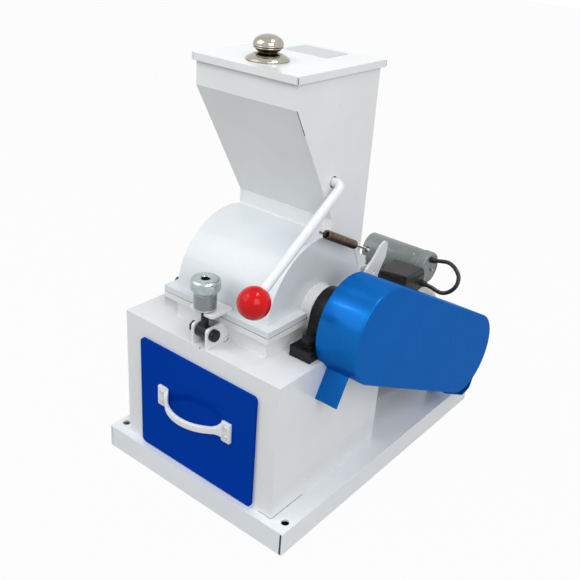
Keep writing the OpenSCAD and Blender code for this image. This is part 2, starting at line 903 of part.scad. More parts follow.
module lid_knob() {
  knob_r = 18;
  knob_h = 31;
  waist_r = 11.8;
  belly_z = 19.4;
  color("tan")
  translate([0, lid_y0 + knob_back, lid_top]) {
    rotate_extrude($fn=96) {
      // foot that flares out to a rounded disc, with a collar on it
      polygon([[0, 0], [26, 0], [26.4, 1.2], [25.6, 2.4], [20, 3], [16.4, 4.2], [14.4, 6.2], [13.8, 8.5],
        [waist_r, 9], [waist_r, 9.8], [14, 11.4], [16, 13.6], [17, 15.4], [17.6, 16.2], [17.1, 17.2],
        [17.8, 18.2], [knob_r, belly_z], [0, belly_z]]);
      // flattened dome
      intersection() {
        translate([0, belly_z])
          scale([1, (knob_h - belly_z)/knob_r])
            circle(knob_r);
        translate([0, belly_z - eps])
          square([knob_r, knob_h]);
      }
    }
    translate([0, 0, -lid_t - 4])
      cylinder(r=2.5, h=lid_t + 4 + eps);
    translate([0, 0, -lid_t - 3.5])
      cylinder(r=5, h=3);
  }
}

module lid_plate() {
  plate_w = 68;
  plate_d = 46;
  color("lightgray")
  translate([-plate_w/2, lid_y0 + lid_d - 16 - plate_d, lid_top])
    cube([plate_w, plate_d, 0.6]);
}

// ---- feed lever and gate ----

module feed_lever() {
  color("white")
  lever_frame() {
    bar(rod_r, -mill_x - 6, lever_x - bend_r + eps, 0, 0);
    translate([lever_x - bend_r, bend_r, 0])
      rotate([0, 0, -90])
        rotate_extrude(angle=90)
          translate([bend_r, 0])
            circle(rod_r, $fn=32);
    translate([lever_x, bend_r - eps, 0])
      rotate([-90, 0, 0])
        cylinder(r=rod_r, h=lever_len - ball_d/2 + 5 - bend_r);
    difference() {
      across(lever_x - 2, lever_x + 2)
        difference() {
          union() {
            polygon([[lug_u - 10, rod_r - 3], [lug_u - 6, lug_w], [lug_u, lug_w + 6],
              [lug_u + 4.2, lug_w + 4.2], [lug_u + 40, rod_r - 3]]);
            translate([lug_u, lug_w])
              circle(6);
          }
          translate([lug_u, lug_w])
            circle(2);
        }
    }
  }
}

module ball_knob() {
  color("red")
  lever_frame()
    difference() {
      translate([lever_x, lever_len, 0])
        rotate([90, 0, 0])
          rotate_extrude($fn=96)
            intersection() {
              circle(ball_d/2);
              translate([0, -ball_d])
                square([ball_d, ball_d + ball_d/2 - 1.5]);
            }
      translate([lever_x, lever_len - ball_d, 0])
        rotate([-90, 0, 0])
          cylinder(r=rod_r + run_gap, h=ball_d/2 + 5 + run_gap);
    }
}

module gate_flap() {
  flap_l = 78;
  color("silver")
  translate([0, lever_y, lever_z])
    rotate([-flap_fall, 0, 0])
      translate([-mill_w/2 + 7, -rod_r, rod_r + 0.05])
        cube([mill_w - 14, flap_l + rod_r, 2]);
}

module gate_spring() {
  wire_r = 0.9;
  coil_r = spring_d/2;
  coil_y0 = 17;
  coil_l = 75;
  color("dimgray")
  translate([lever_x, hook_y, hook_z])
    rotate([spring_turn, 0, 0]) {
      // hook through the lug of the lever
      translate([0, 4.5, 0])
        rotate_extrude($fn=32)
          translate([4.5, 0])
            circle(wire_r, $fn=16);
      translate([0, 8.6, 0])
        rotate([-90, 0, 0])
          cylinder(r=wire_r, h=coil_y0 - 8, $fn=16);
      // close-wound body
      difference() {
        translate([0, coil_y0, 0])
          rotate([-90, 0, 0])
            cylinder(r=coil_r, h=coil_l);
        difference() {
          translate([0, coil_y0 - 1, 0])
            rotate([-90, 0, 0])
              cylinder(r=coil_r - 1.8, h=coil_l + 2);
          for (y = [coil_y0, coil_y0 + coil_l - 2])
            translate([-coil_r, y, -1])
              cube([2*coil_r, 2, 2]);
        }
      }
      // tail to the stud
      translate([0, coil_y0 + coil_l - 1, 0])
        rotate([-90, 0, 0])
          cylinder(r=wire_r, h=spring_l - coil_y0 - coil_l - 2.2, $fn=16);
      translate([0, spring_l, 0])
        rotate([0, 90, 0])
          rotate_extrude($fn=32)
            translate([3.2, 0])
              circle(wire_r, $fn=16);
    }
}

// ---- rotor ----

module rotor_shaft() {
  color("silver") {
    bar(shaft_d/2, bearing_xl - 22, belt_x + 14, axis_y, axis_z);
    bar(core_d/2, -mill_w/2 + 6, mill_w/2 - 6, axis_y, axis_z);
    block([belt_x - 10, axis_y - 4, axis_z], [belt_x + 10, axis_y + 4, axis_z + shaft_d/2 + 3]);
  }
}

module rotor_discs() {
  pitch = (mill_w - 18)/3;
  pin_r = pin_pcd/2*cos(45);
  color("gray")
  difference() {
    union() {
      for (i = [0:3])
        bar(disc_d/2, -1.5*pitch + i*pitch - disc_t/2, -1.5*pitch + i*pitch + disc_t/2, axis_y, axis_z);
      bar(core_d/2 + 6, -1.5*pitch, 1.5*pitch, axis_y, axis_z);
    }
    bar(core_d/2 + run_gap, -mill_w, mill_w, axis_y, axis_z);
    for (sy = [-1, 1])
      for (sz = [-1, 1])
        bar(pin_d/2 + run_gap, -mill_w, mill_w, axis_y + sy*pin_r, axis_z + sz*pin_r);
  }
}

module hammer_pins() {
  pin_r = pin_pcd/2*cos(45);
  color("silver")
  for (sy = [-1, 1])
    for (sz = [-1, 1]) {
      bar(pin_d/2, -mill_w/2 + 4, mill_w/2 - 4, axis_y + sy*pin_r, axis_z + sz*pin_r);
      bar(pin_d/2 + 2.5, mill_w/2 - 5.8, mill_w/2 - 3, axis_y + sy*pin_r, axis_z + sz*pin_r);
    }
}

// one row of three hammers on its pin, hanging straight down
module hammers(sy, sz) {
  pitch = (mill_w - 18)/3;
  pin_r = pin_pcd/2*cos(45);
  shift = sy*sz*10;
  color("dimgray")
  for (i = [-1:1])
    difference() {
      across(i*pitch + shift - hammer_t/2, i*pitch + shift + hammer_t/2) {
        translate([axis_y + sy*pin_r - hammer_w/2, axis_z + sz*pin_r - hammer_len])
          square([hammer_w, hammer_len]);
        translate([axis_y + sy*pin_r, axis_z + sz*pin_r])
          circle(hammer_w/2);
      }
      bar(pin_d/2 + 0.08, -mill_w, mill_w, axis_y + sy*pin_r, axis_z + sz*pin_r);
    }
}

module hammers_front_top() {
  hammers(-1, 1);
}

module hammers_rear_top() {
  hammers(1, 1);
}

module hammers_front_low() {
  hammers(-1, -1);
}

module hammers_rear_low() {
  hammers(1, -1);
}

// ---- belt drive ----

// a V-pulley around X with a groove that clears the belt, a web and a hub
module pulley(od, bore_r, hub_r, y, z) {
  r = od/2;
  groove = belt_w/2 + rest_gap + belt_narrow*belt_drop/belt_t;
  deep = belt_t + belt_drop + 1.5;
  low = groove - belt_narrow*deep/belt_t;
  translate([belt_x, y, z])
    rotate([0, 90, 0])
      rotate_extrude($fn=96)
        polygon([[bore_r, -pulley_w/2], [hub_r, -pulley_w/2], [hub_r, -4], [r - deep - 5, -4],
          [r - deep - 5, -pulley_w/2], [r, -pulley_w/2], [r, -groove], [r - deep, -low],
          [r - deep, low], [r, groove], [r, pulley_w/2], [r - deep - 5, pulley_w/2],
          [r - deep - 5, 4], [hub_r, 4], [hub_r, pulley_w/2], [bore_r, pulley_w/2]]);
}

module rotor_pulley() {
  color("dimgray")
  difference() {
    pulley(rotor_pulley_d, shaft_d/2 + run_gap, 21, axis_y, axis_z);
    block([belt_x - 20, axis_y - 4.1, axis_z], [belt_x + 20, axis_y + 4.1, axis_z + shaft_d/2 + 3.1]);
  }
}

module motor_pulley() {
  color("dimgray")
  difference() {
    pulley(motor_pulley_d, motor_shaft_r + run_gap, 20, motor_y, motor_z);
    block([belt_x - 20, motor_y - 3.1, motor_z],
      [belt_x + 20, motor_y + 3.1, motor_z + motor_shaft_r + 2.6]);
  }
}

// the four corners of the belt's V-section at an angle round a pulley; u is the pulley's centre
function belt_ring(u, angle, r) =
  let (inner = r - belt_t, half = belt_w/2 - belt_narrow)
    [for (p = [[inner, -half], [r, -belt_w/2], [r, belt_w/2], [inner, half]])
      [u + p[0]*cos(angle), p[0]*sin(angle), p[1]]];

module v_belt() {
  steps = 32;
  rings = concat(
    [for (i = [0:steps]) belt_ring(0, belt_lean + (360 - 2*belt_lean)*i/steps, belt_r1)],
    [for (i = [0:steps]) belt_ring(drive_d, -belt_lean + 2*belt_lean*i/steps, belt_r2)]
  );
  n = len(rings);
  corners = 4;
  belt_points = [for (ring = rings) each ring];
  belt_faces = [
    for (i = [0:n - 1])
      for (k = [0:corners - 1])
        let (next = (i + 1)%n, side = (k + 1)%corners)
          [i*corners + k, i*corners + side, next*corners + side, next*corners + k]
  ];
  color("black")
  drive_frame(belt_x)
    polyhedron(belt_points, belt_faces);
}

// side outline of the belt guard: two round ends and the straight between them
module guard_outline(r) {
  circle(r, $fn=128);
  translate([drive_d + guard_over, 0])
    circle(r, $fn=128);
  translate([0, -r])
    square([drive_d + guard_over, 2*r]);
}

// folded corner below the rear end of the guard
module guard_corner(r) {
  end_u = drive_d + guard_over;
  polygon([[drive_d - 20, -r + 1], [drive_d - 20, -r - 2], [end_u + 40, -r - 2], [end_u + r - 7, -r + 12],
    [end_u + r - 10, -30], [end_u, -20]]);
}

module belt_guard() {
  color("royalblue")
  difference() {
    drive_frame(guard_back) {
      difference() {
        linear_extrude(guard_x - guard_back - guard_t) {
          guard_outline(guard_r);
          guard_corner(guard_r);
        }
        translate([0, 0, -1])
          linear_extrude(guard_x - guard_back + 2) {
            guard_outline(guard_r - guard_t);
            guard_corner(guard_r - guard_t);
          }
      }
      translate([0, 0, guard_x - guard_back - guard_t])
        linear_extrude(guard_t)
          guard_outline(guard_r);
    }
    // cut-away that lets the rim pass the cabinet
    block([0, box_y0, deck_z], [box_w/2 + 1, box_y1 + 1, top_z + 1]);
  }
}

module guard_brackets() {
  tab_x = box_w/2;
  tab_t = 3;
  tab_w = 33;
  tab_u = -17;
  leg_w = 30;
  tab_v = -guard_r - 40.5;
  screws = [for (v = [12, 28]) [tab_u + leg_w/2, -guard_r - v]];
  post_x = guard_back - tab_t;
  post_y = motor_y + 15;
  color("royalblue") {
    // angle that hangs from the rim: one leg stands out, the other lies on the side of the cabinet
    drive_frame(tab_x)
      difference() {
        union() {
          translate([tab_u, tab_v, 0])
            cube([tab_t, guard_r, tab_w]);
          translate([tab_u, tab_v, 0])
            cube([leg_w, -guard_r - 2 - tab_v, tab_t]);
        }
        translate([0, 0, -1])
          cylinder(r=guard_r, h=tab_w + 2, $fn=128);
        for (p = screws)
          translate([p[0], p[1], -1])
            cylinder(r=2.8, h=tab_t + 2);
      }
    // post from the tray to the back edge of the rim
    block([post_x, post_y, deck_z], [guard_back, post_y + 30, motor_z - guard_r + 22]);
    block([post_x - 22, post_y, deck_z], [guard_back, post_y + 30, deck_z + tab_t]);
  }
  color("silver")
  drive_frame(tab_x)
    for (p = screws)
      translate([p[0], p[1], 0]) {
        cylinder(r=2.5, h=tab_t + run_gap + eps);
        translate([0, 0, tab_t + run_gap])
          cylinder(r=4.5, h=2.4);
      }
}

// ---- motor ----

module motor_rails() {
  color("gainsboro")
  for (x = rail_x)
    difference() {
      translate([x - 15, motor_y - foot_y - 18, deck_z])
        cube([30, 2*foot_y + 34, rail_h]);
      for (s = [-1, 1])
        translate([0, motor_y + s*foot_y, 0]) {
          translate([x - 5.2, -7, deck_z - 1])
            cube([10.4, 14, rail_h + 2]);
          for (t = [-7, 7])
            translate([x, t, deck_z - 1])
              cylinder(r=5.2, h=rail_h + 2);
        }
    }
}

module motor_housing() {
  foot_z = deck_z + rail_h;
  stator_r = 43;
  color("silver")
  difference() {
    union() {
      bar(motor_r, motor_x0, motor_x1, motor_y, motor_z);
      for (s = [-1, 1]) {
        translate([rail_x[0] - 16, motor_y + s*foot_y - 17, foot_z])
          cube([rail_x[1] - rail_x[0] + 32, 34, motor_foot_t]);
        for (x = [rail_x[0] - 16, rail_x[1] + 10.5])
          translate([x, motor_y + s*foot_y - 10, foot_z])
            cube([5.5, 20, motor_z - 30 - foot_z]);
      }
      // pad of the terminal box and saddle of the capacitor
      block([tbox_x0 + 4, tbox_y0 + 8, motor_z + motor_r - 14], [motor_x1 - 4, tbox_y1 - 6, tbox_z0]);
      difference() {
        for (x = [cap_x0 + 12, cap_x1 - 24])
          block([x, cap_y - 18, motor_z + motor_r - 20], [x + 12, cap_y + 14, cap_z - 14]);
        bar(cap_r + run_gap, cap_x0 - 1, cap_x1 + 1, cap_y, cap_z);
      }
    }
    bar(stator_r, motor_x0 - 1, motor_x1 + 1, motor_y, motor_z);
    for (x = rail_x)
      for (s = [-1, 1])
        translate([x, motor_y + s*foot_y, foot_z - 1])
          cylinder(r=5.2, h=motor_foot_t + 2);
  }
}

module motor_end_bells() {
  bell_r = motor_r - 1.5;
  color("silver")
  difference() {
    union() {
      translate([motor_x1, motor_y, motor_z])
        rotate([0, 90, 0])
          rotate_extrude($fn=96)
            polygon([[0, 0], [bell_r, 0], [bell_r, bell_l - 5], [bell_r - 6, bell_l], [30, bell_l],
              [28, bell_l + 10], [0, bell_l + 10]]);
      bar(bell_r, motor_x0 - bell_l, motor_x0, motor_y, motor_z);
    }
    bar(12 + run_gap, motor_x0 - bell_l - 1, motor_x1 + bell_l + 12, motor_y, motor_z);
    bar(44, motor_x1 - 1, motor_x1 + bell_l - 9, motor_y, motor_z);
    bar(44, motor_x0 - bell_l + 9, motor_x0 + 1, motor_y, motor_z);
  }
}

module motor_fan_cover() {
  xa = motor_x0 - bell_l;
  cover_r = motor_r - 1;
  color("dimgray")
  difference() {
    bar(cover_r, xa - fan_l, xa - run_gap, motor_y, motor_z);
    bar(cover_r - 1.5, xa - fan_l + 1.5, xa + 1, motor_y, motor_z);
    for (i = [0:11])
      translate([xa - fan_l - 1, motor_y, motor_z])
        rotate([30*i, 0, 0])
          translate([0, 22, -3])
            cube([4, 40, 6]);
  }
}

module motor_shaft() {
  xa = motor_x0 - bell_l;
  color("silver") {
    bar(motor_shaft_r, xa - 30, belt_x + 14, motor_y, motor_z);
    bar(12, xa - 2, motor_x1 + bell_l + 10, motor_y, motor_z);
    bar(42, motor_x0 + 25, motor_x1 - 25, motor_y, motor_z);
    block([belt_x - 10, motor_y - 3, motor_z], [belt_x + 10, motor_y + 3, motor_z + motor_shaft_r + 2.5]);
  }
}

module motor_fan() {
  xa = motor_x0 - bell_l - 28;
  color("black")
  difference() {
    union() {
      bar(20, xa, xa + 22, motor_y, motor_z);
      bar(60, xa + 19, xa + 22, motor_y, motor_z);
      for (i = [0:7])
        translate([xa, motor_y, motor_z])
          rotate([45*i, 0, 0])
            translate([0, 18, -1.25])
              cube([20, 42, 2.5]);
    }
    bar(motor_shaft_r + run_gap, xa - 1, xa + 23, motor_y, motor_z);
  }
}

module motor_bolts() {
  color("silver")
  for (x = rail_x)
    for (s = [-1, 1])
      translate([x, motor_y + s*foot_y, deck_z + rail_h + motor_foot_t])
        hex_bolt(10, 16, 6.4, rail_h + motor_foot_t + base_t);
}

module capacitor_body() {
  color("dimgray")
  bar(cap_r, cap_x0, cap_x1, cap_y, cap_z);
}

module capacitor_cap() {
  color("slategray")
  translate([cap_x1, cap_y, cap_z])
    rotate([0, 90, 0])
      rotate_extrude($fn=96)
        polygon([[0, 0], [cap_r + 1, 0], [cap_r + 1, 3], [cap_r, 4], [cap_r, 6], [cap_r + 1, 7],
          [cap_r + 1, 12], [cap_r - 3, 16], [0, 16]]);
}

module terminal_box() {
  color("black")
  difference() {
    block([tbox_x0, tbox_y0, tbox_z0], [tbox_x1, tbox_y1, tbox_z1]);
    block([tbox_x0 + 2.5, tbox_y0 + 2.5, tbox_z0 + 2.5], [tbox_x1 - 2.5, tbox_y1 - 2.5, tbox_z1 + 1]);
  }
}

module terminal_lid() {
  lid_h = 12.5;
  color("black")
  intersection() {
    along(tbox_y0, tbox_y1)
      polygon([[tbox_x0, tbox_z1], [tbox_x1, tbox_z1], [tbox_x1, tbox_z1 + 9],
        [tbox_x1 - 3, tbox_z1 + lid_h], [tbox_x0 + 3, tbox_z1 + lid_h], [tbox_x0, tbox_z1 + 9]]);
    across(tbox_x0, tbox_x1)
      polygon([[tbox_y0, tbox_z1], [tbox_y1, tbox_z1], [tbox_y1, tbox_z1 + 6],
        [tbox_y1 - 14, tbox_z1 + lid_h], [tbox_y0 + 3, tbox_z1 + lid_h], [tbox_y0, tbox_z1 + 9]]);
  }
}

module cable_glands() {
  color("black") {
    bar(5, cable_from[0] - gland_l, cable_from[0], cable_from[1], cable_from[2]);
    bar(5, cable_to[0] - gland_l, cable_to[0], cable_to[1], cable_to[2]);
  }
}

// a point on a smooth curve through four neighbouring route points
function route_point(a, b, c, d, t) =
  0.5*((2*b) + (c - a)*t + (2*a - 5*b + 4*c - d)*t*t + (3*b - a - 3*c + d)*t*t*t);

function route(p, steps) = [
  for (i = [0:len(p) - 2])
    for (j = [0:steps - 1])
      route_point(p[max(i - 1, 0)], p[i], p[i + 1], p[min(i + 2, len(p) - 1)], j/steps),
  p[len(p) - 1]
];

function unit(v) = v/norm(v);

module capacitor_cable() {
  sides = 10;
  line = route(cable_points, 3);
  n = len(line);
  // rings stand square to the route; the loop lies nearly level in Y
  ring_points = [
    for (i = [0:n - 1])
      let (dir = (i == 0 || i == n - 1) ? [1, 0, 0] : unit(line[i + 1] - line[i - 1]),
           flip = i > n/2 && i == n - 1 ? -1 : 1,
           side = unit(cross(dir*flip, [0, 1, 0])),
           other = unit(cross(side, dir*flip)))
        for (k = [0:sides - 1])
          line[i] + cable_r*(cos(360*k/sides)*side + sin(360*k/sides)*other)
  ];
  faces = concat(
    [[for (k = [0:sides - 1]) k]],
    [for (i = [0:n - 2])
      for (k = [0:sides - 1])
        [i*sides + k, (i + 1)*sides + k, (i + 1)*sides + (k + 1)%sides, i*sides + (k + 1)%sides]],
    [[for (k = [0:sides - 1]) n*sides - 1 - k]]
  );
  color("black")
  polyhedron(ring_points, faces);
}

base_tray();
lower_box();
drawer_runners();
lower_casing();
flange_gasket();
sieve();
seal_housings();
bearing_housings();
bearing_outer_rings();
bearing_bolts();
hinge_brackets();
hinge_pin();
cover_rests();
clamp_ears();
clamp_pivot();
motor_rails();
motor_housing();
motor_end_bells();
motor_fan_cover();
motor_bolts();
capacitor_body();
capacitor_cap();
terminal_box();
terminal_lid();
cable_glands();
capacitor_cable();
v_belt();
belt_guard();
guard_brackets();
drawer_bin();
drawer_front();
drawer_handle();
handle_screws();
upper_casing();
hopper();
cover_lug();
hinge_leaves();
breaker_plate();
hopper_lid();
lid_knob();
lid_plate();
feed_lever();
ball_knob();
gate_flap();
gate_spring();
eye_bolt();
clamp_washer();
clamp_nut();
rotor_shaft();
rotor_discs();
hammer_pins();
rotor_pulley();
bearing_inner_rings();
hammers_front_top();
hammers_rear_top();
hammers_front_low();
hammers_rear_low();
motor_shaft();
motor_fan();
motor_pulley();
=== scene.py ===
import json
import math

import bmesh
import bpy
import numpy as np
from mathutils import Matrix, Vector


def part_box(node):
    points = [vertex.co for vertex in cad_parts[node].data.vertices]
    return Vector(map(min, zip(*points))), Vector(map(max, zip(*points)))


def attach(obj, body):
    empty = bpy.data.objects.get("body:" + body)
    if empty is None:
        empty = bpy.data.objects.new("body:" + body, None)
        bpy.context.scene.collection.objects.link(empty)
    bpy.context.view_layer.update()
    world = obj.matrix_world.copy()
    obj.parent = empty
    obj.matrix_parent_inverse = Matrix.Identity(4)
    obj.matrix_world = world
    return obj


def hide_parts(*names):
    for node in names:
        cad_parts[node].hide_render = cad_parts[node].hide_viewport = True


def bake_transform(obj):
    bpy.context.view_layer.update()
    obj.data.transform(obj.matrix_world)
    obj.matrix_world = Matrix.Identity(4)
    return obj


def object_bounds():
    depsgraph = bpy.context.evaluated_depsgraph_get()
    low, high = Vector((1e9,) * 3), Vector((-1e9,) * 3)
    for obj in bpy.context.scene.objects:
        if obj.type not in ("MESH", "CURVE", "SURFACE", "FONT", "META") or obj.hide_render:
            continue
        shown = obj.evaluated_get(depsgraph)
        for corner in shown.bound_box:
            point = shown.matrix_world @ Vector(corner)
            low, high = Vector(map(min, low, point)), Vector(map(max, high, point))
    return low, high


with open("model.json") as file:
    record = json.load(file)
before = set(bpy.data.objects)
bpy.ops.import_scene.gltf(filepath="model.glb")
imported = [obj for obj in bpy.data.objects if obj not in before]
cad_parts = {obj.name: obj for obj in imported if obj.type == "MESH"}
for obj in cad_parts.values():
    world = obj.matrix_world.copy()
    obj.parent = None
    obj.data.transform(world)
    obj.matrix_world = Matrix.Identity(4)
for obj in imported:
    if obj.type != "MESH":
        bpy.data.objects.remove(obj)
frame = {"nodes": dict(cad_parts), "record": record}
CAD_BOX = [list(corner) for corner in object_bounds()]
MM = 0.001

# ---- camera ----

VIEW_PLACE = (0.61277, -0.8536, 0.72584)
VIEW_AZIMUTH = 37.31
VIEW_ELEVATION = 26.82
VIEW_ROLL = 4.14
VIEW_LENS = 49.88


def add_camera():
    """The camera: its back axis leans to the azimuth and elevation, and its right axis rolls about it."""
    a, e, roll = (math.radians(v) for v in (VIEW_AZIMUTH, VIEW_ELEVATION, VIEW_ROLL))
    back = Vector((math.sin(a) * math.cos(e), -math.cos(a) * math.cos(e), math.sin(e)))
    right = Vector((math.cos(a), math.sin(a), 0))
    up = back.cross(right)
    turned_right = right * math.cos(roll) + up * math.sin(roll)
    turned_up = up * math.cos(roll) - right * math.sin(roll)
    data = bpy.data.cameras.new("camera")
    data.lens = VIEW_LENS
    data.sensor_width = 36
    data.clip_end = 20
    camera = bpy.data.objects.new("camera", data)
    bpy.context.collection.objects.link(camera)
    camera.matrix_world = Matrix.Translation(VIEW_PLACE) @ Matrix(
        (turned_right, turned_up, back)
    ).transposed().to_4x4()
    bpy.context.scene.camera = camera


add_camera()

# ---- shader values ----


class Value:
    """A shader socket. Arithmetic on it adds Math nodes to its tree."""

    def __init__(self, owner, socket):
        self.owner = owner
        self.socket = socket

    def math(self, operation, *values):
        return self.owner.node("ShaderNodeMath", {"operation": operation}, values)

    def __add__(self, other):
        return self.math("ADD", self, other)

    def __sub__(self, other):
        return self.math("SUBTRACT", self, other)

    def __rsub__(self, other):
        return self.math("SUBTRACT", other, self)

    def __mul__(self, other):
        return self.math("MULTIPLY", self, other)

    def __abs__(self):
        return self.math("ABSOLUTE", self)

    __radd__ = __add__
    __rmul__ = __mul__

    def rise(self, low, high):
        """0 below low, 1 above high, and a smooth step between."""
        settings = {"interpolation_type": "SMOOTHSTEP"}
        values = {"Value": self, "From Min": low, "From Max": high}
        return self.owner.node("ShaderNodeMapRange", settings, values)


class Tree:
    """A node tree, with the one method that adds its nodes."""

    def __init__(self, tree):
        self.tree = tree

    def node(self, kind, settings=None, values=(), output=0):
        """A node of any type: settings first, then the values or links of its sockets."""
        made = self.tree.nodes.new(kind)
        for name, setting in (settings or {}).items():
            setattr(made, name, setting)
        pairs = values.items() if isinstance(values, dict) else enumerate(values)
        for key, value in pairs:
            if isinstance(value, Value):
                self.tree.links.new(value.socket, made.inputs[key])
            else:
                made.inputs[key].default_value = value
        return Value(self, made.outputs[output])

    def show(self, surface, output):
        """A shader becomes the surface of the named output node."""
        self.tree.links.new(surface.socket, self.tree.nodes[output].inputs["Surface"])


class Finish(Tree):
    """A node material round one Principled shader."""

    def __init__(self, name, **constants):
        self.material = bpy.data.materials.new(name)
        self.material.use_nodes = True
        super().__init__(self.material.node_tree)
        self.shader = self.tree.nodes["Principled BSDF"]
        for socket, value in constants.items():
            self.shader.inputs[socket.replace("_", " ")].default_value = value

    def feed(self, socket, value):
        self.tree.links.new(value.socket, self.shader.inputs[socket])

    def place(self):
        """Object coordinates, in metres."""
        return self.node("ShaderNodeTexCoord", output="Object")

    def axis(self, name):
        """One of the object coordinates."""
        return self.node("ShaderNodeSeparateXYZ", None, {"Vector": self.place()}, output=name)

    def stretched(self, scale, turn=(0, 0, 0)):
        """Object coordinates turned and scaled by axis."""
        values = {"Vector": self.place(), "Rotation": turn, "Scale": scale}
        return self.node("ShaderNodeMapping", None, values)

    def noise(self, scale, detail, roughness=0.5, place=None):
        """Cloudy noise about 0.5, scale to the metre."""
        place = place or self.place()
        values = {"Vector": place, "Scale": scale, "Detail": detail, "Roughness": roughness}
        return self.node("ShaderNodeTexNoise", None, values)

    def cells(self, scale):
        """Distance from scattered points, scale to the metre."""
        return self.node("ShaderNodeTexVoronoi", {"feature": "F1"}, {"Vector": self.place(), "Scale": scale})

    def near(self, spot, reach):
        """1 at a spot, falling to 0 at its reach."""
        away = self.node(
            "ShaderNodeVectorMath", {"operation": "DISTANCE"}, [self.place(), spot], output="Value"
        )
        return 1 - away.rise(0, reach)

    def blend(self, mask, colour, other):
        """colour where the mask is 0 and other where it is 1."""
        settings = {"data_type": "RGBA", "clamp_factor": True}
        return self.node("ShaderNodeMix", settings, {0: mask, 6: colour, 7: other}, output=2)

    def bump(self, height, distance, strength):
        """Relief of the surface: height is in units of the distance, which is in metres."""
        values = {"Height": height, "Distance": distance, "Strength": strength}
        self.feed("Normal", self.node("ShaderNodeBump", None, values))


def rgb(r, g, b):
    """A colour from its three 8-bit screen values, made linear."""
    shares = (r / 255, g / 255, b / 255)
    linear = [c / 12.92 if c <= 0.04045 else ((c + 0.055) / 1.055) ** 2.4 for c in shares]
    return (*linear, 1.0)


def shade(colour, share):
    """The colour made darker, or lighter past 1."""
    return tuple(min(1.0, c * share) for c in colour[:3]) + (1.0,)


# ---- kinds of finish ----

BARE_STEEL = rgb(70, 78, 98)
# A dark warm grey painted into grooves as shade and dark reflection.
GROOVE_SHADE = rgb(84, 74, 58)
# Black painted into a hole's mouth as the shade inside it.
HOLE_SHADE_BLACK = (0.01, 0.01, 0.01, 1)


def enamel(
    name, colour, roughness, coat, peel=1.0, gloss=0.5, flake=0.0, edge=(1, 1, 1, 1), scuffs=(), chips=()
):
    """Sprayed enamel: orange peel 2 mm across, faint clouds, dust nibs and, at stated spots, wear.

    A scuff is (place, reach, squeeze along Z) and a chip (place, reach). The edge colour tints reflections.
    """
    paint = Finish(name, Coat_Weight=coat, Coat_Roughness=0.06, Specular_IOR_Level=gloss, Metallic=flake)
    paint.shader.inputs["Specular Tint"].default_value = edge
    clouds = paint.noise(14, 3)
    tone = paint.blend(clouds.rise(0.35, 0.7), shade(colour, 0.965), colour)
    worn = 0
    for spot, reach, scratch in scuffs:
        marks = paint.noise(240, 4, 0.7, paint.stretched((1, 1, scratch), (0.5, 0.3, 0)))
        worn = paint.near(spot, reach) * marks.rise(0.53, 0.62) + worn
    for spot, reach in chips:
        worn = paint.near(spot, reach).rise(0.2, 0.5) + worn
    if scuffs or chips:
        tone = paint.blend(worn, tone, BARE_STEEL)
    paint.feed("Base Color", tone)
    paint.feed("Roughness", roughness + (paint.noise(35, 4) - 0.5) * (0.12 * peel))
    peel_height = paint.noise(430, 1.5, 0.45) + paint.noise(120, 1) * 0.6
    nibs = 1 - paint.cells(130).rise(0.0, 0.09)
    paint.bump((peel_height + nibs * 0.18) * peel, 0.05 * MM, 0.5)
    return paint.material


def plated(name, colour, other, roughness, cloud_scale=90, shaded_below=None, mouth=None):
    """Electroplated steel: crystalline clouds of two tints and tool lines.

    The shade below is (height, tint below it): under that height the colour is painted darker, as shade and
    dark reflection on the body. The mouth is (place, reach) of a hole painted black as its shade.
    """
    metal = Finish(name, Metallic=1.0)
    clouds = metal.noise(cloud_scale, 4, 0.65)
    tone = metal.blend(clouds.rise(0.3, 0.7), colour, other)
    # Painted shade: below the height the body takes a darker tint, standing in for shade and dark reflection.
    if shaded_below:
        height, tint = shaded_below
        wave = 2 * MM
        above = (metal.axis("Z") + clouds * wave).rise(height - wave, height + wave)
        tone = metal.blend(above, tint, tone)
    # Painted shade: the mouth of the hole turns black.
    if mouth:
        tone = metal.blend(metal.near(*mouth).rise(0.05, 0.12), tone, HOLE_SHADE_BLACK)
    metal.feed("Base Color", tone)
    metal.feed("Roughness", roughness + (metal.noise(380, 3) - 0.5) * 0.2)
    metal.bump(metal.noise(900, 3) + clouds * 2, 0.02 * MM, 0.6)
    return metal.material


def turned(name, colour, roughness):
    """Machined steel: fine grooves round X and a little staining."""
    metal = Finish(name, Metallic=1.0)
    stains = metal.noise(60, 4, 0.7)
    metal.feed("Base Color", metal.blend(stains.rise(0.45, 0.8), colour, shade(colour, 0.7)))
    grooves = metal.noise(1, 2, 0.5, metal.stretched((2600, 30, 30)))
    metal.feed("Roughness", roughness + (grooves - 0.5) * 0.18)
    metal.bump(grooves, 0.02 * MM, 0.5)
    return metal.material


def cast_iron(name, colour, roughness, gloss=0.25):
    """Sand casting under paint: grains 1 mm across over slow waves, their crests painted lighter as glints.
    """
    iron = Finish(name, Specular_IOR_Level=gloss)
    grain = iron.noise(820, 4, 0.7)
    # Painted highlight: the grain's crests take a lighter colour, standing in for glints.
    iron.feed("Base Color", iron.blend(grain.rise(0.58, 0.78), colour, shade(colour, 2.6)))
    iron.feed("Roughness", roughness + (iron.noise(160, 3) - 0.5) * 0.3)
    iron.bump(grain + iron.noise(150, 2) * 1.5, 0.3 * MM, 0.7)
    return iron.material


def cast_alloy(name, colour, roughness):
    """Die-cast aluminium: fine pitting, flow clouds and dull metal."""
    alloy = Finish(name, Metallic=0.75)
    clouds = alloy.noise(40, 4, 0.6)
    alloy.feed("Base Color", alloy.blend(clouds.rise(0.35, 0.75), colour, shade(colour, 0.78)))
    alloy.feed("Roughness", roughness + (alloy.noise(300, 3) - 0.5) * 0.25)
    alloy.bump(alloy.noise(650, 3, 0.6) + clouds, 0.12 * MM, 0.6)
    return alloy.material


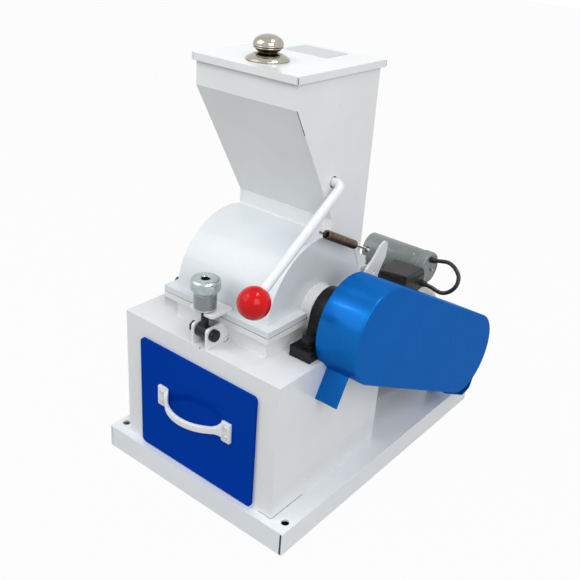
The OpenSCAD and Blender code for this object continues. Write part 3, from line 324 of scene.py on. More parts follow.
def moulded(name, colour, roughness, grain, relief, gloss=0.5):
    """Moulded plastic: spark-eroded grain and faint flow shades."""
    plastic = Finish(name, Specular_IOR_Level=gloss)
    flow = plastic.noise(22, 2)
    plastic.feed("Base Color", plastic.blend(flow.rise(0.3, 0.7), shade(colour, 0.9), shade(colour, 1.08)))
    plastic.feed("Roughness", roughness + (plastic.noise(90, 3) - 0.5) * 0.14)
    plastic.bump(plastic.noise(grain, 3, 0.6), relief * MM, 0.6)
    return plastic.material


def rubber(name, colour, roughness):
    """Rubber: dull, with bloom in slow patches and a fine skin."""
    skin = Finish(name)
    bloom = skin.noise(70, 4, 0.6)
    skin.feed("Base Color", skin.blend(bloom.rise(0.5, 0.8), colour, shade(colour, 1.7)))
    skin.feed("Roughness", roughness + (bloom - 0.5) * 0.2)
    skin.bump(skin.noise(500, 3), 0.05 * MM, 0.5)
    return skin.material


def polished(name, colour, roughness, grooves):
    """Polished nickel: buffing lines, faint warm tarnish, and painted shade and dark reflection in grooves at
    stated heights.
    """
    metal = Finish(name, Metallic=1.0)
    tarnish = metal.noise(55, 3, 0.6)
    tone = metal.blend(tarnish.rise(0.45, 0.8), colour, shade(colour, 0.82))
    # Painted shade: each groove is dark at its height, fading out by its reach.
    for height, reach in grooves:
        away = abs(metal.axis("Z") - height)
        tone = metal.blend(away.rise(reach * 0.55, reach), GROOVE_SHADE, tone)
    metal.feed("Base Color", tone)
    metal.feed("Roughness", roughness + (metal.noise(120, 4) - 0.5) * 0.08)
    metal.bump(metal.noise(1400, 2), 0.006 * MM, 0.4)
    return metal.material


def brushed_plate(name, colour, roughness):
    """Brushed aluminium foil: straight lines along X."""
    metal = Finish(name, Metallic=0.85)
    lines = metal.noise(1, 3, 0.6, metal.stretched((60, 3800, 60)))
    metal.feed("Base Color", metal.blend(lines.rise(0.3, 0.75), shade(colour, 0.9), colour))
    metal.feed("Roughness", roughness + (lines - 0.5) * 0.2)
    metal.bump(lines, 0.01 * MM, 0.5)
    return metal.material


# ---- the mill's places, from the frame ----

SLOT_OF = {part["node"]: part["material_slot"] for part in frame["record"]["subparts"]}
BODY_OF = {node: body for body, nodes in frame["record"]["behaviour"]["bodies"].items() for node in nodes}
JOINT = {joint["name"]: joint for joint in frame["record"]["behaviour"]["joints"]}


def joint_place(name):
    """Where a joint's axis passes, from the record."""
    return np.array(JOINT[name]["pos_m"])


def ends(node):
    """The lowest and the highest corner of a CAD node."""
    low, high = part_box(node)
    return np.array(low), np.array(high)


X_AXIS = np.array([1.0, 0.0, 0.0])
Y_AXIS = np.array([0.0, 1.0, 0.0])
Z_AXIS = np.array([0.0, 0.0, 1.0])
ROTOR = joint_place("rotor_spin")
MOTOR = joint_place("motor_spin")
LEVER = joint_place("feed_lever_pivot")
CLAMP = joint_place("clamp_swing")
LID_TOP = ends("hopper_lid")[1][2]
NUT_FOOT, NUT_TOP = (corner[2] for corner in ends("clamp_nut"))

# ---- the mill's finishes ----

# Wear round the clamp ears, where the swinging bolt has scraped the paint, as (place, reach, squeeze).
EAR_SCUFFS = [((0.0146, -0.195, 0.2), 0.011, 3), ((0.008, -0.193, 0.206), 0.006, 2)]
EAR_CHIPS = [((0.0035, -0.232, 0.1985), 0.002)]

# The waist and upper groove of the lid knob, painted darker as shade and dark reflection, as (height, reach).
KNOB_GROOVES = [(LID_TOP + 9.4 * MM, 3 * MM), (LID_TOP + 15.6 * MM, 0.7 * MM)]

FINISHES = {
    "white_paint": enamel(
        "white_paint", rgb(239, 240, 240), 0.3, 0.4, scuffs=EAR_SCUFFS, chips=EAR_CHIPS
    ),
    # The white paint made darker for the upper casing: painted shade.
    "casing_paint": enamel("casing_paint", rgb(229, 234, 237), 0.3, 0.4),
    "base_paint": enamel("base_paint", rgb(244, 247, 249), 0.36, 0.3),
    "blue_paint": enamel(
        "blue_paint", rgb(0, 61, 163), 0.26, coat=0.02, peel=0.2, gloss=0, flake=0.35, edge=(0, 0.3, 1, 1)
    ),
    "guard_paint": enamel(
        "guard_paint", rgb(14, 102, 182), 0.27, coat=0.07, peel=0.2, gloss=0, flake=0.4, edge=(0.1, 0.5, 1, 1)
    ),
    "zinc": plated("zinc", (0.62, 0.63, 0.62, 1), (0.5, 0.51, 0.51, 1), 0.36),
    "steel": turned("steel", (0.52, 0.52, 0.51, 1), 0.3),
    "hardened_steel": plated("hardened_steel", (0.16, 0.16, 0.17, 1), (0.1, 0.1, 0.11, 1), 0.5),
    "black_iron": cast_iron("black_iron", (0.006, 0.0065, 0.0065, 1), 0.3),
    "black_oxide": cast_iron("black_oxide", (0.008, 0.008, 0.009, 1), 0.36, 0.3),
    "motor_alloy": cast_alloy("motor_alloy", (0.55, 0.54, 0.52, 1), 0.42),
    "motor_sheet": moulded("motor_sheet", (0.05, 0.052, 0.055, 1), 0.4, 500, 0.05),
    "capacitor_shell": moulded("capacitor_shell", rgb(128, 134, 132), 0.24, 500, 0.01),
    "capacitor_end": moulded("capacitor_end", rgb(136, 141, 140), 0.36, 500, 0.03),
    "black_plastic": moulded("black_plastic", rgb(46, 46, 46), 0.42, 700, 0.08, 0.25),
    "cable": rubber("cable", (0.012, 0.012, 0.012, 1), 0.38),
    "belt": rubber("belt", (0.02, 0.02, 0.02, 1), 0.6),
    "gasket": rubber("gasket", (0.035, 0.036, 0.038, 1), 0.7),
    "ball": moulded("ball", rgb(216, 4, 14), 0.05, 400, 0.002, 0.2),
    "nickel": polished("nickel", (0.45, 0.415, 0.36, 1), 0.13, KNOB_GROOVES),
    "plate": brushed_plate("plate", (0.66, 0.68, 0.7, 1), 0.42),
    "spring": plated("spring", (0.06, 0.044, 0.032, 1), (0.115, 0.086, 0.064, 1), 0.34, 200),
    "nut_zinc": plated(
        "nut_zinc", (0.36, 0.42, 0.425, 1), (0.5, 0.57, 0.57, 1), 0.25,
        # Painted shade: the body below the head is painted darker, as shade and dark reflection.
        shaded_below=(NUT_FOOT + 21 * MM, (0.23, 0.265, 0.26, 1)),
        # Painted shade: the threaded hole's mouth is painted black.
        mouth=((0, CLAMP[1], NUT_TOP - 4 * MM), 7.8 * MM),
    ),
    "pulley_iron": cast_iron("pulley_iron", (0.05, 0.05, 0.052, 1), 0.45),
}

# ---- surfaces ----


def grid(points, closed=False):
    """Vertices and quads of a tube: an array [ring, place round it, xyz], its last ring joined to the
    first where it is closed."""
    rings, places = points.shape[:2]
    index = np.arange(rings * places).reshape(rings, places)
    index = np.hstack([index, index[:, :1]])
    if closed:
        index = np.vstack([index, index[:1]])
    quads = np.stack([index[:-1, :-1], index[:-1, 1:], index[1:, 1:], index[1:, :-1]], -1)
    return points.reshape(-1, 3), quads.reshape(-1, 4).tolist()


def capped(points):
    """A tube of rings with its first and last ring closed by flat faces."""
    vertices, faces = grid(points)
    rings, places = points.shape[:2]
    first = list(range(places))
    last = [(rings - 1) * places + i for i in first]
    return vertices, faces + [first[::-1], last]


def frame_of(axis):
    """An axis at unit length, and two unit vectors square to it and to each other."""
    axis = np.asarray(axis, float) / np.linalg.norm(axis)
    side = np.cross(axis, (0, 0, 1) if abs(axis[2]) < 0.9 else (1, 0, 0))
    side /= np.linalg.norm(side)
    return axis, side, np.cross(axis, side)


def lathe(profile, centre, axis, steps=72):
    """A profile of (radius, distance) revolved: centre + d*axis + r*(cos t*side + sin t*other)."""
    axis, side, other = frame_of(axis)
    profile = np.asarray(profile, float)
    t = np.linspace(0, 2 * np.pi, steps, endpoint=False)[None, :, None]
    r, d = profile[:, 0, None, None], profile[:, 1, None, None]
    return grid(np.asarray(centre) + d * axis + r * (np.cos(t) * side + np.sin(t) * other))


def rounded(corners, radius, steps=4, closed=False):
    """An outline whose corners are curves: (1-t)^2*A + 2t(1-t)*P + t^2*B, A and B a radius from corner P."""
    p = np.asarray(corners, float)
    before, after = np.roll(p, 1, 0) - p, np.roll(p, -1, 0) - p
    radius = np.broadcast_to(np.asarray(radius, float), len(p))[:, None]
    if not closed:
        radius = radius * np.array([0.0] + [1.0] * (len(p) - 2) + [0.0])[:, None]
    before_length = np.linalg.norm(before, axis=1, keepdims=True)
    after_length = np.linalg.norm(after, axis=1, keepdims=True)
    start = p + before * np.minimum(radius / before_length, 0.49)
    end = p + after * np.minimum(radius / after_length, 0.49)
    t = np.linspace(0, 1, steps + 1)[None, :, None]
    curve = (1 - t) ** 2 * start[:, None] + 2 * t * (1 - t) * p[:, None] + t**2 * end[:, None]
    curve = curve.reshape(-1, p.shape[1])
    keep = np.concatenate([[True], np.linalg.norm(np.diff(curve, axis=0), axis=1) > 1e-7])
    return curve[keep]


def even(path, step):
    """The path resampled at equal distances."""
    path = np.asarray(path, float)
    run = np.concatenate([[0], np.cumsum(np.linalg.norm(np.diff(path, axis=0), axis=1))])
    count = max(3, int(run[-1] / step) + 1)
    at = np.linspace(0, run[-1], count)
    return np.stack([np.interp(at, run, path[:, i]) for i in range(path.shape[1])], -1)


def carried(path, section, normal, closed=False):
    """A section of (a, b) carried along a path: P + a*side + b*up, side square to the path and the normal."""
    path = np.asarray(path, float)
    if closed:
        tangent = np.roll(path, -1, 0) - np.roll(path, 1, 0)
    else:
        tangent = np.gradient(path, axis=0)
    tangent /= np.linalg.norm(tangent, axis=1, keepdims=True)
    side = np.cross(tangent, np.broadcast_to(normal, path.shape))
    side /= np.linalg.norm(side, axis=1, keepdims=True)
    up = np.cross(side, tangent)
    section = np.broadcast_to(section, (len(path),) + np.shape(section)[-2:])
    return path[:, None] + section[..., :1] * side[:, None] + section[..., 1:] * up[:, None]


def circle(radius, count):
    """A round section of (a, b)."""
    t = np.linspace(0, 2 * np.pi, count, endpoint=False)
    return np.stack([radius * np.cos(t), radius * np.sin(t)], -1)


# ---- pieces ----

# Pieces whose paint differs from the rest of their slot; the upper casing's is the white paint made darker as
# painted shade.
PAINTED = {"guard": "guard_paint", "guard_brackets_skin": "guard_paint", "upper_casing_skin": "casing_paint"}


def finished(mesh, name, slot, body, nodes, bevel, segments, smooth):
    """Puts a mesh in the scene as a named piece with its finish, edges, body and the nodes it stands for."""
    mesh.materials.clear()
    mesh.materials.append(FINISHES[PAINTED.get(name, slot)])
    mesh.polygons.foreach_set("use_smooth", [True] * len(mesh.polygons))
    mesh.set_sharp_from_angle(angle=math.radians(smooth))
    made = bpy.data.objects.new(name, mesh)
    bpy.context.collection.objects.link(made)
    if bevel:
        edges = made.modifiers.new("edges", "BEVEL")
        edges.width = bevel
        edges.segments = segments
        edges.limit_method = "ANGLE"
        edges.angle_limit = math.radians(smooth)
        edges.harden_normals = True
        edges.use_clamp_overlap = True
    if body:
        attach(made, body)
    if nodes:
        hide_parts(*nodes)
    return made


def piece(name, shells, slot, body, nodes=(), bevel=0, segments=2, smooth=32):
    """A new piece from closed shells of (vertices, faces), merged and turned outwards."""
    mesh = bpy.data.meshes.new(name)
    whole = bmesh.new()
    for vertices, faces in shells:
        part = bpy.data.meshes.new(name)
        part.from_pydata(np.asarray(vertices).tolist(), [], faces)
        whole.from_mesh(part)
        bpy.data.meshes.remove(part)
    bmesh.ops.remove_doubles(whole, verts=whole.verts, dist=1e-6)
    bmesh.ops.recalc_face_normals(whole, faces=whole.faces)
    whole.to_mesh(mesh)
    whole.free()
    return finished(mesh, name, slot, body, nodes, bevel, segments, smooth)


def dressed(node, edge):
    """A merged copy of a CAD node with flat faces joined and its edges rounded by the edge's width."""
    name = node + "_skin"
    mesh = frame["nodes"][node].data.copy()
    mesh.name = name
    whole = bmesh.new()
    whole.from_mesh(mesh)
    bmesh.ops.remove_doubles(whole, verts=whole.verts, dist=2e-6)
    bmesh.ops.dissolve_limit(
        whole, angle_limit=math.radians(0.6), verts=whole.verts, edges=whole.edges, delimit=set()
    )
    whole.to_mesh(mesh)
    whole.free()
    if mesh.attributes.get("custom_normal"):
        mesh.attributes.remove(mesh.attributes["custom_normal"])
    return finished(mesh, name, SLOT_OF[node], BODY_OF[node], [node], edge, segments=2, smooth=25)


for node_name, cad_object in frame["nodes"].items():
    for material_slot in cad_object.material_slots:
        material_slot.material = FINISHES[SLOT_OF[node_name]]

# The width in millimetres to which each node's edges are rounded.
DRESSED = {
    "base_tray": 1.2, "lower_box": 0.9, "drawer_runners": 0.5, "lower_casing": 0.6, "seal_housings": 1.2,
    "bearing_housings": 2.0, "bearing_bolts": 0.6, "hinge_brackets": 0.6, "hinge_pin": 0.4,
    "cover_rests": 0.8, "clamp_ears": 0.7, "clamp_pivot": 0.6, "motor_rails": 1.5, "motor_housing": 1.2,
    "motor_end_bells": 2.0, "motor_fan_cover": 1.0, "motor_bolts": 0.5, "terminal_box": 1.0,
    "guard_brackets": 0.6, "upper_casing": 0.7, "hopper": 0.9, "cover_lug": 1.0,
    "hinge_leaves": 0.6, "drawer_bin": 0.4, "drawer_front": 0.7, "hopper_lid": 1.0, "gate_flap": 0.4,
    "clamp_washer": 0.4, "rotor_shaft": 0.5, "rotor_pulley": 0.8, "motor_pulley": 0.8, "motor_shaft": 0.5,
    "feed_lever": 0.6, "lid_plate": 0.15,
}
for node_name, edge in DRESSED.items():
    dressed(node_name, edge * MM)

# ---- the lever's line ----

# The slope of its rod, its place across the machine and its radius.
LEVER_FALL = math.radians(34)
LEVER_OUT = 92 * MM
ROD = 6 * MM


def lever_point(along, below, x=LEVER_OUT):
    """A point of the lever: along the rod from its pivot, and below it, square to the rod."""
    y = LEVER[1] - along * math.cos(LEVER_FALL) + below * math.sin(LEVER_FALL)
    z = LEVER[2] - along * math.sin(LEVER_FALL) - below * math.cos(LEVER_FALL)
    return np.array([x, y, z])


# ---- knob, ball and clamp ----


def arc(centre, radius, start, end, steps):
    """Points (radius*cos t, radius*sin t) round a centre, t in degrees; radius may be (across, along)."""
    across, along = np.broadcast_to(radius, 2)
    t = np.radians(np.linspace(start, end, steps + 1))
    return np.stack([centre[0] + across * np.cos(t), centre[1] + along * np.sin(t)], -1)


def lid_knob():
    """Turned knob: domed foot, waist, two beads and a flattened dome, revolved about Z."""
    low, high = ends("lid_knob")
    centre = np.array([(low[0] + high[0]) / 2, (low[1] + high[1]) / 2, LID_TOP])
    foot = arc((25.2, 1.2), 1.2, -90, 80, 6)
    flare = rounded([(25.4, 2.4), (24, 3.6), (20.6, 5.6), (16.5, 7.2), (12.6, 8)], 2)
    waist = rounded([(12.2, 8.2), (11.6, 8.6), (11.4, 9.2), (12.2, 9.9), (14.4, 11.2), (16.4, 13)], 0.4)
    beads = np.vstack([arc((16.9, 14.5), 0.8, -70, 60, 6), arc((17.35, 16.6), 0.75, -60, 50, 6)])
    dome = arc((0, 17.8), (18, 11.2), 0, 90, 26)
    profile = np.vstack([[(0, 0)], foot, flare, waist, beads, dome]) * MM
    piece("knob", [lathe(profile, centre, Z_AXIS, 96)], "nickel", "lid", ["lid_knob"], smooth=40)


def ball_knob():
    """Ball with a flat where the rod enters, revolved about the rod."""
    radius, level, hole = 20, 18.5, 6.3
    centre = lever_point(188 * MM, 0)
    along = lever_point(1, 0) - lever_point(0, 0)
    flat = math.degrees(math.acos(level / radius))
    profile = np.vstack([arc((0, 0), radius, 90, -90 + flat, 60), [(hole, -level), (0, -level)]]) * MM
    piece("ball", [lathe(profile, centre, along, 96)], "ball", "gate_lever", ["ball_knob"], smooth=40)


def threads(radius, start, end):
    """Profile of a V thread in millimetres: a zigzag between the radius and the depth below it."""
    pitch, depth = 1.5, 0.75
    count = int(abs(end - start) / pitch)
    crest = np.linspace(start, end, 2 * count + 1)
    return np.stack([radius - depth * (np.arange(len(crest)) % 2), crest], -1)


def clamp_bolt():
    """Eye bolt: an eye round the pivot and a shank whose upper part is threaded."""
    top = ends("eye_bolt")[1][2] - CLAMP[2]
    eye = [(4.05, -9.5), (8.2, -9.5), (9, -8.7), (9, 8.7), (8.2, 9.5), (4.05, 9.5), (4.05, -9.5)]
    eye = np.array(eye) * MM
    neck = np.array([(0, 5), (5, 5), (5, 25.5)]) * MM
    cut = threads(5, 26, top / MM - 1.2) * MM
    shank = np.vstack([neck, cut, [(3.8 * MM, top), (0, top)]])
    shells = [lathe(eye, CLAMP, X_AXIS), lathe(shank, CLAMP, Z_AXIS)]
    piece("clamp_bolt", shells, "black_oxide", "swing_bolt", ["eye_bolt"], smooth=34)


def clamp_nut():
    """Turned nut: body, cone, head with rounded edges and a threaded mouth, revolved about Z."""
    corners = [(5.05, 0), (14.5, 0), (14.5, 20), (19, 25), (19, 36.3), (16.6, 39), (7, 39), (5.1, 37.6)]
    outside = rounded(corners, [0, 1, 1.6, 1.8, 1.4, 1.6, 0.6, 0])
    bore = threads(5.1, 37, 24)
    profile = np.vstack([outside, bore, [(5.05, 22), (5.05, 0)]])
    centre = np.array([0, CLAMP[1], NUT_FOOT])
    piece("nut", [lathe(profile * MM, centre, Z_AXIS, 96)], "nut_zinc", "nut", ["clamp_nut"], smooth=30)


def drawer_handle():
    """Bowed strap on two plates: an arc of even thickness whose height grows at each end.

    Over the flare it grows by 19*(1 - sqrt(1 - s^2)) mm, where s is the share of the flare.
    """
    low, high = ends("drawer_handle")
    foot, middle = 15 * MM, (low[2] + high[2]) / 2
    half, reach = high[0] - foot / 2 - 3 * MM, high[1] - low[1]
    radius = (half**2 + reach**2) / (2 * reach)
    t = np.linspace(-1, 1, 161) * (math.asin(half / radius) - 0.05)
    bow = radius - 2.5 * MM
    path = np.stack([bow * np.sin(t), low[1] + radius - bow * np.cos(t), np.full_like(t, middle)], -1)
    flare = np.clip((abs(path[:, 0]) - 41.5 * MM) / (9.5 * MM), 0, 1)
    grown = 9.5 * MM * (1 - np.sqrt(1 - flare**2))
    section = rounded(np.array([(-2.5, -5), (2.5, -5), (2.5, 5), (-2.5, 5)]) * MM, 1.6 * MM, 4, True)
    section = np.repeat(section[None], len(path), 0)
    section[..., 1] += np.sign(section[..., 1]) * grown[:, None]
    shells = [capped(carried(path, section, Z_AXIS))]
    deep = np.array([0, 3, 3.7, 4])[:, None] * MM
    share = 1 - np.array([0, 0, 0.04, 0.11])[:, None]
    tall = (high[2] - low[2]) / 2
    plate = np.array([(-0.5, -1), (0.5, -1), (0.5, 1), (-0.5, 1)]) * (foot, tall)
    outline = rounded(plate, 2.2 * MM, 5, True)
    for side in (-1, 1):
        at = side * (high[0] - foot / 2)
        x, z = at + outline[:, 0] * share, middle + outline[:, 1] * (1 - (1 - share) * foot / tall / 2)
        shells.append(capped(np.stack([x, np.broadcast_to(high[1] - deep, x.shape), z], -1)))
    piece("handle", shells, SLOT_OF["drawer_handle"], "drawer", ["drawer_handle"], smooth=40)


# ---- spring ----


def gate_spring():
    """Tension spring: hook, close-wound coils and end loop, coils along c*t*a + r*(cos t*w + sin t*x)."""
    hook = lever_point(62 * MM, ROD + 12.4 * MM)
    stud = np.array([LEVER_OUT, ends("hopper")[1][1] - 5 * MM, ROTOR[2] + 59.7 * MM])
    run = np.linalg.norm(stud - hook)
    axis = (stud - hook) / run
    other = np.cross(X_AXIS, axis)
    wire, mean, start, wound, turns = 0.9 * MM, 5.1 * MM, 17.5 * MM, 74 * MM, 41

    def at(along, out=0.0, across=0.0):
        along, out, across = np.broadcast_arrays(along, out, across)
        return hook + along[:, None] * axis + out[:, None] * other + across[:, None] * X_AXIS

    t = np.linspace(0, 2 * np.pi * turns, turns * 20 + 1)
    coil = at(start + wound * t / t[-1], mean * np.cos(t), mean * np.sin(t))
    eye, loop_radius, bend = 3.2 * MM, 4.5 * MM, 1.5 * MM
    inwards = [mean, mean * 0.5, 0, 0]
    turn = np.radians(np.linspace(90, 415, 30))
    loop = at(loop_radius * (1 + np.sin(turn)), 0.0, loop_radius * np.cos(turn))
    lead = rounded(at(np.array([start, start - 1.6 * MM, 13 * MM, 9 * MM]), inwards), bend)
    hooked = carried(np.vstack([lead[:-1], loop]), circle(wire, 10), X_AXIS + other)
    turn = np.radians(np.linspace(180, 500, 26))
    ring = at(run + eye * np.cos(turn), eye * np.sin(turn))
    finish = start + wound
    tail = rounded(at(np.array([finish, finish + 1.6 * MM, finish + 4 * MM, run - eye]), inwards), bend)
    tailed = carried(np.vstack([tail[:-1], ring]), circle(wire, 10), X_AXIS)
    shells = [capped(hooked), capped(carried(coil, circle(wire, 8), axis)), capped(tailed)]
    made = piece("spring", shells, "spring", None, ["gate_spring"], smooth=60)
    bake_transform(made)


# ---- belt guard ----

# The line from the rotor's shaft to the motor's, the way along it and the way square to it.
DRIVE = MOTOR - ROTOR
DRIVE_RUN = math.hypot(DRIVE[1], DRIVE[2])
ALONG = np.array([0, DRIVE[1], DRIVE[2]]) / DRIVE_RUN
SQUARE = np.cross(X_AXIS, ALONG)


def drive_point(x, u, v):
    """A point from its place across the machine, along the belt and square to the belt."""
    x, u, v = (np.asarray(value)[..., None] for value in np.broadcast_arrays(x, u, v))
    return x * X_AXIS + (ROTOR[1] * Y_AXIS + ROTOR[2] * Z_AXIS) + u * ALONG + v * SQUARE


def belt_guard():
    """Dished sheet: a rim round a stadium outline, a fold of 3 mm radius and a flat face, 1.5 mm thick.

    Each ring is the outline centre + (radius - inset)*out, and the two rings of the rim's open edge stop
    short where the cabinet stands. A folded strip closes the rim's far lower corner.
    """
    low, high = ends("belt_guard")
    radius, over, fold, sheet, back = 65 * MM, 12 * MM, 3 * MM, 1.5 * MM, low[0]
    far = DRIVE_RUN + over
    round_steps = 49
    bend = np.radians(np.linspace(-90, 90, round_steps))
    level = np.linspace(0, 1, 2 * round_steps - 1)[1:-1]
    ends_u = np.full(round_steps, far), np.zeros(round_steps)
    centre_u = np.concatenate([ends_u[0], far * (1 - level), ends_u[1], far * level])
    out_u = np.concatenate([np.cos(bend), 0 * level, -np.cos(bend), 0 * level])
    out_v = np.concatenate([np.sin(bend), 1 + 0 * level, -np.sin(bend), -1 + 0 * level])
    a = np.radians(np.linspace(0, 90, 7))
    depth, inset = high[0] - fold + fold * np.sin(a), fold * (1 - np.cos(a))
    inner, inner_inset = high[0] - fold + (fold - sheet) * np.sin(a), fold - (fold - sheet) * np.cos(a)
    face = fold + 1.5 * MM
    x = np.concatenate([[high[0] - sheet], inner[::-1], [0, 0], depth, [high[0]]])
    cut = np.concatenate([[face], inner_inset[::-1], [sheet, 0], inset, [face]])
    rim = drive_point(0, centre_u + radius * out_u, radius * out_v)
    box_side, box_back, box_top = ends("lower_box")[1] + MM
    edge = np.where((rim[:, 2] < box_top) & (rim[:, 1] < box_back), box_side, back)
    open_edge = slice(1 + len(inner), 3 + len(inner))
    x = np.broadcast_to(x[:, None], (len(x), len(edge))).copy()
    x[open_edge] = edge
    reach = radius - cut[:, None]
    shell = capped(drive_point(x, centre_u + reach * out_u, reach * out_v))
    below = -radius - 2 * MM
    corner = [
        (DRIVE_RUN - 20 * MM, below), (far + 40 * MM, below),
        (far + radius - 7 * MM, -radius + 12 * MM), (far + radius - 10 * MM, -30 * MM),
    ]
    strip_path = rounded([drive_point(back, u, v) for u, v in corner], 4 * MM)
    wide = high[0] - sheet - back
    strip = capped(carried(strip_path, np.array([(0, 0), (0, wide), (-sheet, wide), (-sheet, 0)]), X_AXIS))
    piece("guard", [shell, strip], "blue_paint", "frame", ["belt_guard"], smooth=42)


# ---- motor fittings ----


def capacitor():
    """Spun can with a rolled groove, and a moulded cap with a rounded edge, a sunk face and a post."""
    low, high = ends("capacitor_body")
    centre = np.array([0, (low[1] + high[1]) / 2, (low[2] + high[2]) / 2])
    start, end = low[0] / MM, high[0] / MM
    foot = arc((22, start + 3), 3, -90, 0, 6)
    groove = arc((25.3, end - 9), 1.0, 230, 130, 5)
    can = np.vstack([[(0, start)], foot, [(25, end - 11)], groove, [(25, end - 7), (25, end), (0, end)]]) * MM
    piece("capacitor_can", [lathe(can, centre, X_AXIS, 96)], "capacitor_shell", "frame", ["capacitor_body"])
    rim = ends("capacitor_cap")[1][0] / MM
    skirt = [(0, 0), (25.2, 0), (26, 0.8), (26, 3), (25.4, 3.8), (25.4, 4.6), (26, 5.4)]
    shoulder = arc((22, rim - 4), 4, 0, 80, 7)
    face = [(21.5, rim - 0.4), (21, rim - 1.4), (0, rim - 1.4)]
    cap = np.vstack([np.array(skirt) + (0, end), shoulder, face]) * MM
    piece("capacitor_lid", [lathe(cap, centre, X_AXIS, 96)], "capacitor_end", "frame", ["capacitor_cap"])
    post = np.array([(0, -2), (2.1, -2), (2.1, 1.2), (1.6, 1.8), (0, 1.8)]) * MM
    spot = centre + np.array([rim * MM, 5 * MM, -4.6 * MM])
    piece("capacitor_post", [lathe(post, spot, X_AXIS, 24)], "nickel", "frame")


def smooth_route(points):
    """A Catmull-Rom curve through a list of points, in 14 steps from each to the next."""
    p = np.asarray(points, float)
    p = np.vstack([p[:1], p, p[-1:]])
    t = np.linspace(0, 1, 14, endpoint=False)[:, None]
    spans = [
        0.5 * (2 * b + (c - a) * t + (2 * a - 5 * b + 4 * c - d) * t**2 + (3 * b - a - 3 * c + d) * t**3)
        for a, b, c, d in zip(p, p[1:], p[2:], p[3:])
    ]
    return np.vstack(spans + [p[-1:]])


def capacitor_cable():
    """Round cable in a loop from the capacitor's cap to the terminal box."""
    centre = (ends("capacitor_body")[0] + ends("capacitor_body")[1]) / 2
    box_low, box_high = ends("terminal_box")
    mouth, diameter = 7 * MM, 6.4 * MM
    leave = np.array([ends("capacitor_cap")[1][0] + mouth, centre[1] - 1.5 * MM, centre[2] + 16 * MM])
    enter = np.array([box_high[0] + mouth, box_high[1] - 7 * MM, box_low[2] + 9 * MM])
    out = [(0, 0, 0), (10, -1, 3), (26, -5, 7), (41, -12, 5), (52, -18, -4), (53, -24, -17), (45, -29, -28)]
    back = [(26, 3, -6), (11, 1, -2), (0, 0, 0)]
    path = smooth_route([leave + np.array(p) * MM for p in out] + [enter + np.array(p) * MM for p in back])
    tube = capped(carried(path, circle(diameter / 2, 20), Y_AXIS))
    made = piece("cable", [tube], "cable", "frame", ["capacitor_cable"])
    body = [(0, -7), (5, -7), (5, -4.4), (4.6, -4), (4.6, -1), (4.4, -0.4), (4, 1.6)]
    lip = [(3.3, 2), (3.3, -1), (0, -1)]
    gland = np.array(body + lip) * MM
    shells = [lathe(gland, place, X_AXIS, 36) for place in (leave, enter)]
    piece("glands", shells, "black_plastic", "frame", ["cable_glands"])


def terminal_cover():
    """Moulded cover: a box whose rear leans in and whose top falls from its front right corner."""
    low, high = ends("terminal_lid")
    corners = np.array([(0, 0), (1, 0), (1, 1), (0, 1)])
    plan = low[:2] + corners * (high - low)[:2]
    foot = np.column_stack([plan, np.full(4, low[2])])
    lean, fall = np.array([0, 0, 4, 13]) * MM, np.array([6, 0, 3.5, 1]) * MM
    top = np.column_stack([plan[:, 0], plan[:, 1] - lean, high[2] - fall])
    shell = capped(np.stack([foot, top]))
    piece("terminal_cover", [shell], "black_plastic", "frame", ["terminal_lid"], 2.4 * MM, 4)


def seam(start, end, section, normal=X_AXIS):
    """A straight bead: a section carried from one point to another in steps of 1 mm."""
    return capped(carried(even([start, end], MM), section, normal))


def seam_shades():
    """Dark beads painted as shade: in the open seams at the corners of lid and tray and on the slope of the
    hopper, as contact shadow at the foot of the cabinet, and in the gap round the rod.
    """
    low, high = ends("hopper_lid")
    inset = 0.3 * MM
    left, right, front, back = low[0] + inset, high[0] - inset, low[1] + inset, high[1] - inset
    # Painted shade: dark beads in the open seams at the lid's corners.
    beads = [
        seam((x, y, low[2] + MM), (x, y, high[2] - MM), circle(0.42 * MM, 8))
        for x, y in ((right, front), (right, back), (left, back))
    ]
    piece("lid_seams", beads, "gasket", "lid")
    # Painted shade: a dark bead in the open seam along the hopper's slope.
    slope_top, slope_foot = np.array([78, -162, 503]) * MM, np.array([78, -75, 351]) * MM
    sunk = np.array([-0.25, -0.1, 0]) * MM
    open_end = slope_top + 0.2 * (slope_foot - slope_top)
    piece("slope_seam", [seam(slope_top + sunk, open_end + sunk, circle(0.45 * MM, 8))], "gasket", "frame")
    # Painted shade: a dark ring in the gap where the rod enters the hopper.
    inner, outer, face = ROD + 0.3 * MM, 7.5 * MM, 76.2 * MM
    around = [(inner, 0), (outer, 0), (outer, MM), (inner, MM), (inner, 0)]
    piece("rod_seal", [lathe(around, (face, LEVER[1], LEVER[2]), X_AXIS, 48)], "gasket", "frame")
    # Painted shadow: thin dark beads where the cabinet's foot meets the tray.
    low, high = ends("lower_box")
    side, front, deck = high[0] - 0.1 * MM, low[1] + 0.1 * MM, 0.25 * MM
    beads = [
        seam((side, front, deck), (side, front + 64 * MM, deck), circle(0.4 * MM, 8)),
        seam((side - 22 * MM, front, deck), (side, front, deck), circle(0.3 * MM, 8), Y_AXIS),
    ]
    piece("foot_seams", beads, "gasket", "frame")
    # Painted shade: a dark strip in the open slit at the tray's front corner.
    low, high = ends("base_tray")
    side, front = high[0] - 2.5 * MM, low[1] + 0.15 * MM
    strip = np.array([(-0.3, -1.2), (0.3, -1.2), (0.3, 1.2), (-0.3, 1.2)]) * MM
    slit = seam((side, front, low[2] + MM), (side, front, high[2] - 1.5 * MM), strip)
    piece("tray_seam", [slit], "gasket", "frame", smooth=20)


